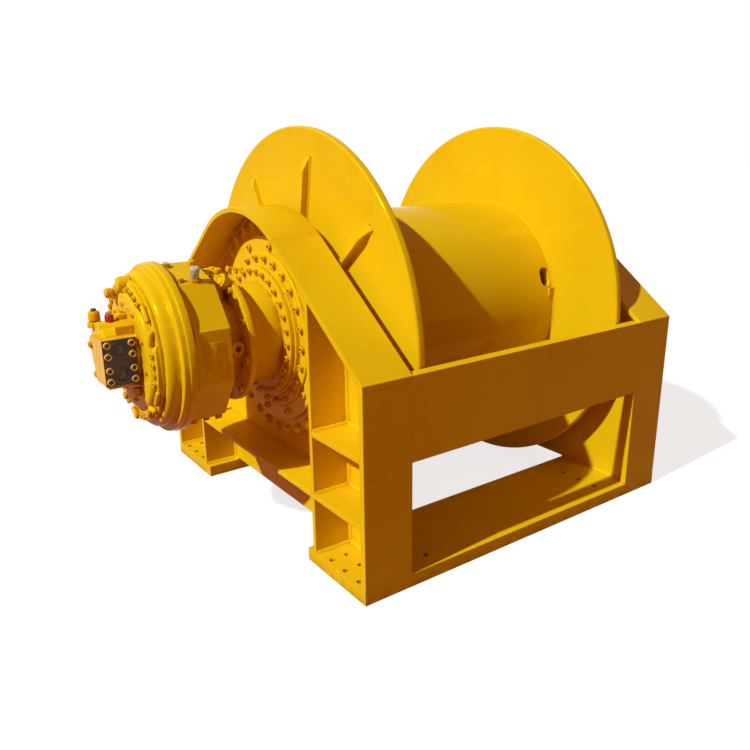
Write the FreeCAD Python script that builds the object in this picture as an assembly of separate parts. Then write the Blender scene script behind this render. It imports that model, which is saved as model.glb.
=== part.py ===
"""Mooring winch: fabricated frame, rope drum on a level axis, planetary gearbox and hydraulic motor.

The frame is +X along the drum axis (drive at -X), +Y to the rear, +Z up.
The origin is on the floor at the centre of the deck bolt pattern. Sizes are in millimetres.
"""

import FreeCAD, Part
import math
import os

# Drum
drum_rope_width = 800.0       # clear width between the two flanges
drum_flange_radius = 621.5
drum_flange_thickness = 27.0
barrel_radius = 355.0
barrel_wall = 27.0
floor_gap = 8.5               # floor to the lowest point of the drum flanges
beam_gap = 6.0                # drum flange rim to the cross beams, along Y
side_gap = 72.5               # drum flange's outer face to the web beside it
hub_gap = 20.5                # hub ring's end to the web beside it
hub_ring_radius = 205.0
rib_count = 9
rib_first_angle = 20.0
rib_thickness = 16.0
rib_hub_step = 27.0           # hub ring's end to the deep end of the ribs
rib_tip_depth = 3.0
rib_slope_length = 44.0       # sloped outer end of a rib, along the radius
rib_rim_gap = 78.5            # drum flange rim to the ribs' outer ends
spindle_radius = 150.0        # fixed gearbox body that carries the drum's left side
spindle_reach = 26.0          # how far the spindle passes the inner face of the left flange
running_gap = 0.3             # radial gap between turning and fixed round faces
shaft_radius = 70.0
shaft_end_gap = 8.0
slot_length = 66.0            # rope anchor slot, measured round the barrel
slot_width = 46.0
slot_angle = 161.0
slot_from_flange = 31.0       # right flange's inner face to the middle of the slot
anchor_angle = 170.0
anchor_width = 26.0
anchor_length = 30.0
anchor_height = 10.0

# Frame
column_height = 625.0         # floor to the top of the columns and cross beams
side_frame_width = 160.0      # width of a side frame's edge plates, along X
base_plate_thickness = 40.0
base_plate_depth = 300.0
beam_height = 245.0
beam_thickness = 35.0
column_plate_thickness = 20.0
band_thickness = 15.0         # sloped and curved edge plates
arch_gap = 28.0               # gearbox mounting ring to the curved edge plate
web_thickness = 15.0
web_inset = 22.0              # side frame's inner edge to the inner face of its web
web_bore_gap = 12.0           # right web's opening round the shaft
stiffener_thickness = 15.0
stiffener_inset = 37.5        # base plate's inner edge to the middle of a stiffener
shelf_thickness = 15.0
lower_shelf_height = 233.0    # floor to the top of the lower shelf
upper_shelf_height = 426.0

# Deck bolt holes
deck_hole_radius = 9.0
deck_outer_edge = 20.5        # side frame's outer edge to each column of holes, along X
deck_middle_edge = 71.5
deck_inner_edge = 255.5
deck_row_edge = 57.5          # base plate's outer edge to the outermost row, along Y
deck_row_pitch = 70.0
deck_rows = 3

# Right bearing
bearing_flange_radius = 185.0
bearing_flange_thickness = 22.0
bearing_body_radius = 135.0
bearing_body_length = 52.0
bearing_cap_radius = 118.0
bearing_cap_thickness = 16.0

# Gearbox, from the left web outwards
mount_ring_radius = 345.0
mount_ring_thickness = 16.0
mount_flange_radius = 298.0
mount_flange_thickness = 14.0
ring_radius = 250.0
ring_length = 8.0
ring_gear_radius = 213.0
ring_gear_length = 13.5
cover_flange_radius = 205.0
cover_flange_thickness = 14.0
hub_base_radius = 158.0
hub_tip_radius = 150.0
hub_length = 108.0
adapter_radius = 198.0
adapter_thickness = 18.0
neck_radius = 142.0
neck_length = 72.0

# Motor
block_radius = 242.0          # over the corners of the cylinder block
block_sides = 10
block_corner_angle = 124.0
block_length = 106.0
gap_radius = 226.0
gap_length = 6.0
bell_rear_radius = 251.0
bell_rear_length = 20.0
bell_radius = 248.0
bell_length = 20.0
bell_shoulder_radius = 229.0
bell_nose_radius = 218.0
bell_nose_length = 36.0
cover_radius = 206.0
cover_thickness = 12.0
distributor_radius = 90.0
distributor_length = 100.0
lobe_count = 5
lobe_radius = 28.0
lobe_circle = 72.0
pad_length = 50.0             # raised pad on top of the distributor, along X
pad_width = 100.0
pad_offset = -10.0            # drum axis to the middle of the pad, along Y
pad_height = 92.0             # drum axis to the top of the pad
pad_setback = 34.0
port_block_length = 92.0      # along X
port_block_height = 130.0
port_block_front = 100.0      # drum axis to the block's front face
port_block_depth = 92.0
port_block_rise = 3.0         # drum axis to the middle of the block
port_spacing = 71.0
port_radius = 16.0
port_depth = 40.0
port_bolt_long = 66.7
port_bolt_short = 31.8
port_bolt_radius = 6.0
port_bolt_depth = 24.0
port_block_end_cover = 18.0   # distributor end past which the block stands
drain_boss_radius = 22.0
drain_boss_height = 26.0
drain_hole_radius = 9.0
plug_radius = 15.0
plug_height = 22.0
plug_setback = 38.0           # distributor's outer end to the middle of the plug
breather_radius = 14.0
breather_height = 42.0
breather_share = 0.48         # place of the breather along the cylinder block
breather_edge_gap = 1.0       # cylinder block's corner to the breather's foot

# Sizes that follow from those above
axis_height = drum_flange_radius + floor_gap
arch_radius = mount_ring_radius + arch_gap + band_thickness
web_setback = side_frame_width - web_inset - web_thickness
hub_ring_length = side_gap - hub_gap
rib_depth = hub_ring_length - rib_hub_step
rib_outer_radius = drum_flange_radius - rib_rim_gap
FLANGE_INNER = drum_rope_width / 2.0
FLANGE_OUTER = FLANGE_INNER + drum_flange_thickness
WEB_INNER = FLANGE_OUTER + side_gap
WEB_OUTER = WEB_INNER + web_thickness
HALF_WIDTH = WEB_OUTER + web_setback
HALF_DEPTH = drum_flange_radius + beam_gap + beam_thickness
X_AXIS = FreeCAD.Vector(1, 0, 0)
AXIS_POINT = FreeCAD.Vector(0, 0, axis_height)


def box(x_low, x_high, y_low, y_high, z_low, z_high):
    """Return a box between two corners."""
    corner = FreeCAD.Vector(x_low, y_low, z_low)
    return Part.makeBox(x_high - x_low, y_high - y_low, z_high - z_low, corner)


def prism_along_x(points, x_low, x_high):
    """Return a prism whose outline is a list of (y, z) points."""
    loop = [FreeCAD.Vector(x_low, y, z) for y, z in points]
    face = Part.Face(Part.makePolygon(loop + loop[:1]))
    return face.extrude(FreeCAD.Vector(x_high - x_low, 0, 0))


def turned(profile):
    """Return a solid of revolution about the drum axis from a list of (x, radius) points."""
    loop = [FreeCAD.Vector(x, 0, axis_height + radius) for x, radius in profile]
    face = Part.Face(Part.makePolygon(loop + loop[:1]))
    return face.revolve(AXIS_POINT, X_AXIS, 360)


def disc(x_low, x_high, radius):
    """Return a cylinder on the drum axis."""
    return Part.makeCylinder(radius, x_high - x_low, FreeCAD.Vector(x_low, 0, axis_height), X_AXIS)


def ring(x_low, x_high, outer, inner):
    """Return a flat ring on the drum axis."""
    return disc(x_low, x_high, outer).cut(disc(x_low - 1.0, x_high + 1.0, inner))


def on_circle(angle, radius):
    """Return the (y, z) point at an angle from +Y towards +Z about the drum axis."""
    turn = math.radians(angle)
    return radius * math.cos(turn), axis_height + radius * math.sin(turn)


def mirrored(shape):
    """Return a shape's mirror image in the plane X = 0."""
    return shape.mirror(FreeCAD.Vector(0, 0, 0), X_AXIS)


def flipped_depth(shape):
    """Return a shape's mirror image in the plane Y = 0."""
    return shape.mirror(FreeCAD.Vector(0, 0, 0), FreeCAD.Vector(0, 1, 0))


def save(name, solids):
    """Write one node's solids to its STEP file."""
    shape = solids[0] if len(solids) == 1 else Part.makeCompound(solids)
    shape.exportStep("parts/" + name + ".step")


# ---------------------------------------------------------------- side frames

def slope_geometry():
    """Return the tangent angle of the sloped edge and its foot point at the front."""
    foot_y = HALF_DEPTH
    foot_z = column_height - axis_height
    distance = math.hypot(foot_y, foot_z)
    lift = math.asin(arch_radius / distance)
    angle = lift - math.atan2(foot_z, foot_y)
    return angle, foot_y


SLOPE_ANGLE, SLOPE_FOOT = slope_geometry()


def inner_slope_height(y):
    """Return the height of the slope's underside at a distance y from the middle."""
    drop = band_thickness / math.cos(SLOPE_ANGLE)
    return column_height + (SLOPE_FOOT - abs(y)) * math.tan(SLOPE_ANGLE) - drop


def tangent_point(radius):
    """Return the (y, z) point where a circle about the drum axis meets the front slope."""
    return -radius * math.sin(SLOPE_ANGLE), axis_height + radius * math.cos(SLOPE_ANGLE)


def column_plate(x_low, x_high):
    """Return the front column plate, its top cut to the slope's underside."""
    front = -HALF_DEPTH
    back = front + column_plate_thickness
    points = [
        (front, base_plate_thickness),
        (back, base_plate_thickness),
        (back, inner_slope_height(back)),
        (front, inner_slope_height(front)),
    ]
    return prism_along_x(points, x_low, x_high)


def slope_plate(x_low, x_high):
    """Return the straight sloped edge plate over the front half of a side frame."""
    outer_y, outer_z = tangent_point(arch_radius)
    inner_y, inner_z = tangent_point(arch_radius - band_thickness)
    points = [
        (-HALF_DEPTH, column_height),
        (outer_y, outer_z),
        (inner_y, inner_z),
        (-HALF_DEPTH, inner_slope_height(-HALF_DEPTH)),
    ]
    return prism_along_x(points, x_low, x_high)


def arc_edge(radius, x):
    """Return the circular edge over the top of a side frame, front to rear."""
    start_y, start_z = tangent_point(radius)
    start = FreeCAD.Vector(x, start_y, start_z)
    middle = FreeCAD.Vector(x, 0, axis_height + radius)
    end = FreeCAD.Vector(x, -start_y, start_z)
    return Part.Arc(start, middle, end).toShape()


def arch_plate(x_low, x_high):
    """Return the curved edge plate over the gearbox or bearing."""
    outer = arc_edge(arch_radius, x_low)
    inner = arc_edge(arch_radius - band_thickness, x_low)
    outer_ends = [vertex.Point for vertex in outer.Vertexes]
    inner_ends = [vertex.Point for vertex in inner.Vertexes]
    front_end = Part.makeLine(outer_ends[0], inner_ends[0])
    rear_end = Part.makeLine(outer_ends[1], inner_ends[1])
    wire = Part.Wire(Part.__sortEdges__([outer, rear_end, inner, front_end]))
    return Part.Face(wire).extrude(FreeCAD.Vector(x_high - x_low, 0, 0))


def web_plate(x_low, x_high, bore):
    """Return the web of a side frame, with a round opening on the drum axis."""
    edge_y = -HALF_DEPTH + column_plate_thickness
    arc = arc_edge(arch_radius - band_thickness, x_low)
    arc_front = arc.Vertexes[0].Point
    arc_rear = arc.Vertexes[1].Point
    front_low = FreeCAD.Vector(x_low, edge_y, base_plate_thickness)
    front_high = FreeCAD.Vector(x_low, edge_y, inner_slope_height(edge_y))
    rear_high = FreeCAD.Vector(x_low, -edge_y, inner_slope_height(edge_y))
    rear_low = FreeCAD.Vector(x_low, -edge_y, base_plate_thickness)
    edges = [
        Part.makeLine(front_low, front_high),
        Part.makeLine(front_high, arc_front),
        arc,
        Part.makeLine(arc_rear, rear_high),
        Part.makeLine(rear_high, rear_low),
        Part.makeLine(rear_low, front_low),
    ]
    wire = Part.Wire(Part.__sortEdges__(edges))
    plate = Part.Face(wire).extrude(FreeCAD.Vector(x_high - x_low, 0, 0))
    return plate.cut(disc(x_low - 1.0, x_high + 1.0, bore))


def build_side_frame(side, bore, place):
    """Write one side frame; place turns left-hand shapes into this side's shapes."""
    outer = -HALF_WIDTH
    inner = outer + side_frame_width
    web_outer = outer + web_setback
    web_inner = web_outer + web_thickness
    front_plate = column_plate(outer, inner)
    front_slope = slope_plate(outer, inner)
    columns = [front_plate, flipped_depth(front_plate)]
    slopes = [front_slope, flipped_depth(front_slope)]
    save(side + "_web_plate", [place(web_plate(web_outer, web_inner, bore))])
    save(side + "_column_plates", [place(plate) for plate in columns])
    save(side + "_slope_plates", [place(plate) for plate in slopes])
    save(side + "_arch_plate", [place(arch_plate(outer, inner))])

    middle = -HALF_DEPTH + base_plate_depth - stiffener_inset
    low_y = middle - stiffener_thickness / 2.0
    high_y = middle + stiffener_thickness / 2.0
    column_back = -HALF_DEPTH + column_plate_thickness
    shelf_low = lower_shelf_height - shelf_thickness
    stiffener_points = [
        (low_y, base_plate_thickness),
        (high_y, base_plate_thickness),
        (high_y, inner_slope_height(high_y)),
        (low_y, inner_slope_height(low_y)),
    ]
    front_stiffener = prism_along_x(stiffener_points, outer, web_outer)
    rear_stiffener = box(outer, web_outer, -high_y, -low_y, base_plate_thickness, shelf_low)
    save(side + "_stiffeners", [place(front_stiffener), place(rear_stiffener)])
    upper_low = upper_shelf_height - shelf_thickness
    shelves = [
        box(outer, web_outer, column_back, low_y, shelf_low, lower_shelf_height),
        box(outer, web_outer, column_back, low_y, upper_low, upper_shelf_height),
        box(outer, web_outer, high_y, -column_back, shelf_low, lower_shelf_height),
    ]
    save(side + "_shelves", [place(shelf) for shelf in shelves])


def deck_hole_centres():
    """Return the (x, y) centres of the deck bolt holes in the front base plate."""
    centres = []
    for edge in (deck_outer_edge, deck_middle_edge, deck_inner_edge):
        for row in range(deck_rows):
            x = HALF_WIDTH - edge
            y = -HALF_DEPTH + deck_row_edge + row * deck_row_pitch
            centres.append((x, y))
            centres.append((-x, y))
    return centres


def build_cross_members():
    """Write the front and rear base plates and cross beams."""
    front = -HALF_DEPTH
    plate = box(-HALF_WIDTH, HALF_WIDTH, front, front + base_plate_depth, 0, base_plate_thickness)
    for x, y in deck_hole_centres():
        corner = FreeCAD.Vector(x, y, -1.0)
        plate = plate.cut(Part.makeCylinder(deck_hole_radius, base_plate_thickness + 2.0, corner))
    save("front_base_plate", [plate])
    save("rear_base_plate", [flipped_depth(plate)])
    beam_end = HALF_WIDTH - side_frame_width
    beam_low = column_height - beam_height
    beam = box(-beam_end, beam_end, front, front + beam_thickness, beam_low, column_height)
    save("front_cross_beam", [beam])
    save("rear_cross_beam", [flipped_depth(beam)])


# ---------------------------------------------------------------- drum

def flange_ribs():
    """Return the ribs on the right flange's outer face."""
    ribs = []
    for index in range(rib_count):
        angle = rib_first_angle + index * 360.0 / rib_count
        base = FreeCAD.Vector(FLANGE_OUTER, 0, axis_height)
        points = [
            (0.0, hub_ring_radius + running_gap),
            (rib_depth, hub_ring_radius + running_gap),
            (rib_depth, rib_outer_radius - rib_slope_length),
            (rib_tip_depth, rib_outer_radius),
            (0.0, rib_outer_radius),
        ]
        low_y = -rib_thickness / 2.0
        loop = [base + FreeCAD.Vector(depth, low_y, radius) for depth, radius in points]
        face = Part.Face(Part.makePolygon(loop + loop[:1]))
        rib = face.extrude(FreeCAD.Vector(0, rib_thickness, 0))
        rib.rotate(AXIS_POINT, X_AXIS, angle - 90.0)
        ribs.append(rib)
    return ribs


def flange_plate(bore):
    """Return the right drum flange, a plate with a rounded rim."""
    soft = drum_flange_thickness / 6.0
    profile = [
        (FLANGE_INNER, bore),
        (FLANGE_OUTER, bore),
        (FLANGE_OUTER, drum_flange_radius - soft),
        (FLANGE_OUTER - soft, drum_flange_radius),
        (FLANGE_INNER + soft, drum_flange_radius),
        (FLANGE_INNER, drum_flange_radius - soft),
    ]
    return turned(profile)


def build_drum():
    """Write the turning pieces."""
    left_bore = spindle_radius + running_gap
    right_bore = shaft_radius + running_gap
    barrel = ring(-FLANGE_INNER, FLANGE_INNER, barrel_radius, barrel_radius - barrel_wall)
    slot_x = FLANGE_INNER - slot_from_flange
    slot_round = slot_width / 2.0
    straight = slot_length / 2.0 - slot_round
    slot_start = barrel_radius - 2.0 * barrel_wall
    slot_end = barrel_radius + barrel_wall
    outwards = FreeCAD.Vector(0, 1, 0)
    slot = box(
        slot_x - slot_round,
        slot_x + slot_round,
        slot_start,
        slot_end,
        axis_height - straight,
        axis_height + straight,
    )
    for end in (-straight, straight):
        centre = FreeCAD.Vector(slot_x, slot_start, axis_height + end)
        slot = slot.fuse(Part.makeCylinder(slot_round, slot_end - slot_start, centre, outwards))
    slot.rotate(AXIS_POINT, X_AXIS, slot_angle)
    save("drum_barrel", [barrel.cut(slot)])
    save("drum_left_flange", [mirrored(flange_plate(left_bore))])
    save("drum_right_flange", [flange_plate(right_bore)])
    save("drum_left_flange_ribs", [mirrored(rib) for rib in flange_ribs()])
    save("drum_right_flange_ribs", flange_ribs())
    hub_end = FLANGE_OUTER + hub_ring_length
    save("drum_left_hub_ring", [ring(-hub_end, -FLANGE_OUTER, hub_ring_radius, left_bore)])
    save("drum_right_hub_ring", [ring(FLANGE_OUTER, hub_end, hub_ring_radius, right_bore)])
    cap_face = WEB_OUTER + bearing_flange_thickness + bearing_body_length
    shaft_start = FLANGE_INNER - 2.0 * drum_flange_thickness
    save("drum_stub_shaft", [disc(shaft_start, cap_face - shaft_end_gap, shaft_radius)])
    wedge_high = FLANGE_INNER
    wedge_low = wedge_high - anchor_width
    base = barrel_radius - 0.4
    wedge_points = [
        (base, axis_height - anchor_length / 2.0),
        (base + anchor_height, axis_height - anchor_length / 2.0),
        (base + anchor_height / 3.0, axis_height + anchor_length / 2.0),
        (base, axis_height + anchor_length / 2.0),
    ]
    wedge = prism_along_x(wedge_points, wedge_low, wedge_high)
    wedge.rotate(AXIS_POINT, X_AXIS, anchor_angle)
    wedge = wedge.cut(disc(-FLANGE_INNER, FLANGE_INNER, barrel_radius))
    save("drum_rope_anchor_wedge", [wedge])


# ---------------------------------------------------------------- right bearing

def build_bearing():
    """Write the outer bearing on the right web."""
    flange_end = WEB_OUTER + bearing_flange_thickness
    body_end = flange_end + bearing_body_length
    bore = shaft_radius + running_gap
    soft = 8.0
    profile = [
        (WEB_OUTER, bore),
        (WEB_OUTER, bearing_flange_radius),
        (flange_end, bearing_flange_radius),
        (flange_end, bearing_body_radius + soft),
        (flange_end + soft, bearing_body_radius),
        (body_end, bearing_body_radius),
        (body_end, bore),
    ]
    save("bearing_housing", [turned(profile)])
    cap_end = body_end + bearing_cap_thickness
    cap_profile = [
        (body_end, 0.0),
        (body_end, bearing_cap_radius),
        (cap_end - soft / 2.0, bearing_cap_radius),
        (cap_end, bearing_cap_radius - soft / 2.0),
        (cap_end, 0.0),
    ]
    save("bearing_cap", [turned(cap_profile)])


# ---------------------------------------------------------------- gearbox and motor

def build_gearbox():
    """Write the gearbox from the left web outwards and return its outer end."""
    spindle_end = -FLANGE_INNER + spindle_reach
    save("gearbox_spindle", [disc(-WEB_OUTER, spindle_end, spindle_radius)])

    x = -WEB_OUTER
    plate_end = x - mount_ring_thickness
    save("gearbox_mounting_ring", [disc(plate_end, x, mount_ring_radius)])
    flange_end = plate_end - mount_flange_thickness
    save("gearbox_mounting_flange", [disc(flange_end, plate_end, mount_flange_radius)])

    ring_end = flange_end - ring_length
    gear_end = ring_end - ring_gear_length
    gear_profile = [
        (flange_end, 0.0),
        (flange_end, ring_radius),
        (ring_end + 3.0, ring_radius),
        (ring_end, ring_radius - 3.0),
        (ring_end, ring_gear_radius),
        (gear_end, ring_gear_radius),
        (gear_end, 0.0),
    ]
    save("gearbox_ring_gear_housing", [turned(gear_profile)])

    cover_end = gear_end - cover_flange_thickness
    save("gearbox_cover_flange", [disc(cover_end, gear_end, cover_flange_radius)])

    hub_end = cover_end - hub_length
    hub_profile = [
        (cover_end, 0.0),
        (cover_end, hub_base_radius),
        (cover_end - hub_length * 0.35, hub_base_radius),
        (cover_end - hub_length * 0.75, hub_tip_radius),
        (hub_end, hub_tip_radius),
        (hub_end, 0.0),
    ]
    save("gearbox_brake_housing", [turned(hub_profile)])

    adapter_end = hub_end - adapter_thickness
    save("gearbox_adapter_flange", [disc(adapter_end, hub_end, adapter_radius)])

    neck_end = adapter_end - neck_length
    save("motor_neck", [disc(neck_end, adapter_end, neck_radius)])

    boss_x = adapter_end - neck_length * 0.35
    reach = drain_boss_height + drain_boss_radius
    start = FreeCAD.Vector(boss_x, 0, axis_height)
    boss = Part.makeCylinder(drain_boss_radius, neck_radius + drain_boss_height, start,
                             FreeCAD.Vector(0, -1, 0))
    boss = boss.cut(disc(neck_end - 1.0, adapter_end + 1.0, neck_radius))
    hole_start = FreeCAD.Vector(boss_x, -(neck_radius + drain_boss_height + 1.0), axis_height)
    hole = Part.makeCylinder(drain_hole_radius, reach / 2.0, hole_start, FreeCAD.Vector(0, 1, 0))
    save("motor_drain_boss", [boss.cut(hole)])
    return neck_end


def build_motor(start):
    """Write the hydraulic motor outwards from its cylinder block's inner face."""
    corners = []
    for index in range(block_sides):
        corners.append(on_circle(block_corner_angle + index * 360.0 / block_sides, block_radius))
    block_end = start - block_length
    save("motor_cylinder_block", [prism_along_x(corners, block_end, start)])

    gap_end = block_end - gap_length
    rear_end = gap_end - bell_rear_length
    bell_end = rear_end - bell_length
    nose_end = bell_end - bell_nose_length
    profile = [
        (block_end, 0.0),
        (block_end, gap_radius),
        (gap_end, gap_radius),
        (gap_end, bell_rear_radius),
        (rear_end, bell_rear_radius),
        (rear_end - 3.0, bell_radius),
        (bell_end + 3.0, bell_radius),
        (bell_end, bell_radius - 3.0),
        (bell_end, bell_shoulder_radius),
        (nose_end + bell_nose_length * 0.25, bell_shoulder_radius - 2.0),
        (nose_end, bell_nose_radius),
        (nose_end, 0.0),
    ]
    save("motor_bell_housing", [turned(profile)])

    cover_end = nose_end - cover_thickness
    cover_profile = [
        (nose_end, 0.0),
        (nose_end, cover_radius),
        (cover_end + 3.0, cover_radius),
        (cover_end, cover_radius - 3.0),
        (cover_end, 0.0),
    ]
    save("motor_front_cover", [turned(cover_profile)])

    distributor_end = cover_end - distributor_length
    body = turned([
        (cover_end, 0.0),
        (cover_end, distributor_radius + 12.0),
        (cover_end - 14.0, distributor_radius),
        (distributor_end + 6.0, distributor_radius),
        (distributor_end, distributor_radius - 6.0),
        (distributor_end, 0.0),
    ])
    for index in range(lobe_count):
        y, z = on_circle(index * 360.0 / lobe_count + 18.0, lobe_circle)
        lobe_start = FreeCAD.Vector(distributor_end, y, z)
        body = body.fuse(Part.makeCylinder(lobe_radius, distributor_length, lobe_start, X_AXIS))
    pad_x = distributor_end + pad_setback
    pad_front = pad_offset - pad_width / 2.0
    pad_top = axis_height + pad_height
    pad = box(pad_x, pad_x + pad_length, pad_front, pad_front + pad_width, axis_height, pad_top)
    body = body.fuse(pad)
    block_outer = distributor_end - port_block_end_cover
    block_inner = block_outer + port_block_length
    front = -port_block_front
    rear = front + port_block_depth
    block_middle = axis_height + port_block_rise
    low = block_middle - port_block_height / 2.0
    high = block_middle + port_block_height / 2.0
    block = box(block_outer, block_inner, front, rear, low, high)
    body = body.cut(block).removeSplitter()
    save("motor_distributor", [body])

    inwards = FreeCAD.Vector(0, 1, 0)
    port_x = (block_outer + block_inner) / 2.0
    for side in (-1.0, 1.0):
        port_z = block_middle + side * port_spacing / 2.0
        port_start = FreeCAD.Vector(port_x, front - 1.0, port_z)
        block = block.cut(Part.makeCylinder(port_radius, port_depth + 1.0, port_start, inwards))
        for along in (-0.5, 0.5):
            for up in (-0.5, 0.5):
                centre = FreeCAD.Vector(
                    port_x + along * port_bolt_long,
                    front - 1.0,
                    port_z + up * port_bolt_short,
                )
                hole = Part.makeCylinder(port_bolt_radius, port_bolt_depth + 1.0, centre, inwards)
                block = block.cut(hole)
    save("motor_port_block", [block])
    breather_x = start - block_length * breather_share
    plug_x = distributor_end + plug_setback
    return breather_x, plug_x, body


def build_fittings(breather_x, plug_x, distributor):
    """Write the breather on the cylinder block and the plug on the distributor."""
    flat = block_radius * math.cos(math.pi / block_sides)
    half_side = block_radius * math.sin(math.pi / block_sides)
    offset = half_side - breather_edge_gap - breather_radius
    foot = FreeCAD.Vector(breather_x, -offset, axis_height + flat)
    breather = Part.makeCylinder(breather_radius, breather_height, foot)
    turn = block_corner_angle - 180.0 / block_sides - 90.0
    breather.rotate(AXIS_POINT, X_AXIS, turn)
    save("motor_breather_cap", [breather])
    seat = lobe_circle + lobe_radius
    sunk = lobe_circle
    plug_start = FreeCAD.Vector(plug_x, 0, axis_height + sunk)
    plug = Part.makeCylinder(plug_radius, seat - sunk + plug_height, plug_start)
    save("motor_plug", [plug.cut(distributor)])


def main():
    """Build every node."""
    os.makedirs("parts", exist_ok=True)
    build_side_frame("left", spindle_radius + running_gap, lambda shape: shape)
    build_side_frame("right", shaft_radius + web_bore_gap, mirrored)
    build_cross_members()
    build_drum()
    build_bearing()
    neck_end = build_gearbox()
    breather_x, plug_x, distributor = build_motor(neck_end)
    build_fittings(breather_x, plug_x, distributor)


main()
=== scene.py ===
import logging
import math
import random
from dataclasses import dataclass, field
from enum import Enum
from typing import Callable, Iterator, Sequence

import bpy
from mathutils import Matrix, Vector


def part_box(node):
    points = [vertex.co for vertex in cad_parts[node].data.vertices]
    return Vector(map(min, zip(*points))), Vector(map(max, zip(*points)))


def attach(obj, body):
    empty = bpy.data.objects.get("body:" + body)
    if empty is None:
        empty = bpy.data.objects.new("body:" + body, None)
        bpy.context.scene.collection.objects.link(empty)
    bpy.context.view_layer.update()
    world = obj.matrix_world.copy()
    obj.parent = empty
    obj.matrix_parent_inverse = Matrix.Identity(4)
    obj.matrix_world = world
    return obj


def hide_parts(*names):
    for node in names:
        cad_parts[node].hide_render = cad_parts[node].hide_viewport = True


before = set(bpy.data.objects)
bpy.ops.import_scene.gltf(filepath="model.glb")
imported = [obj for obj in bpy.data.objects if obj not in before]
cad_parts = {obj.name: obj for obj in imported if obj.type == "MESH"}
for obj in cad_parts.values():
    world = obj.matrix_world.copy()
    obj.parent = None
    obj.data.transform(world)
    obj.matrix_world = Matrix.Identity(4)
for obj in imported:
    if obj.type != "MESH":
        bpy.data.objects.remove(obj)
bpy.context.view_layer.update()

LOG = logging.getLogger("mooring_winch")

Colour = tuple[float, float, float]
Point = tuple[float, float, float]
Profile = Sequence[tuple[float, float]]
Sides = tuple[Vector, Vector]
Socket = bpy.types.NodeSocket
Value = Socket | float | Colour

UP = Vector((0.0, 0.0, 1.0))
TO_FRONT = Vector((0.0, -1.0, 0.0))
TO_DRIVE = Vector((-1.0, 0.0, 0.0))
FROM_DRIVE = Vector((1.0, 0.0, 0.0))
AS_IT_IS = Matrix.Identity(4)
WHOLE_TURN = (0.0, 360.0)
BOTH_WAYS = (-1.0, 1.0)
HALVES = (-0.5, 0.5)
STRAIGHT_STEP = 0.008
ROUND_STEP = 0.010
GROUND_STEP = 0.006


class Body(Enum):
    """The two bodies that the joint connects."""

    FRAME = "frame"
    DRUM = "drum"


class Slot(Enum):
    """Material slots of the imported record."""

    PAINT = "winch_paint"
    PORT = "port_block_steel"
    SHAFT = "shaft_steel"
    BREATHER = "breather_plastic"
    PLUG = "plug_plastic"


class Head(Enum):
    """Kinds of screw head."""

    SOCKET = "socket"
    HEXAGON = "hexagon"


# ------------------------------------------------------------------ shader nodes

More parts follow.
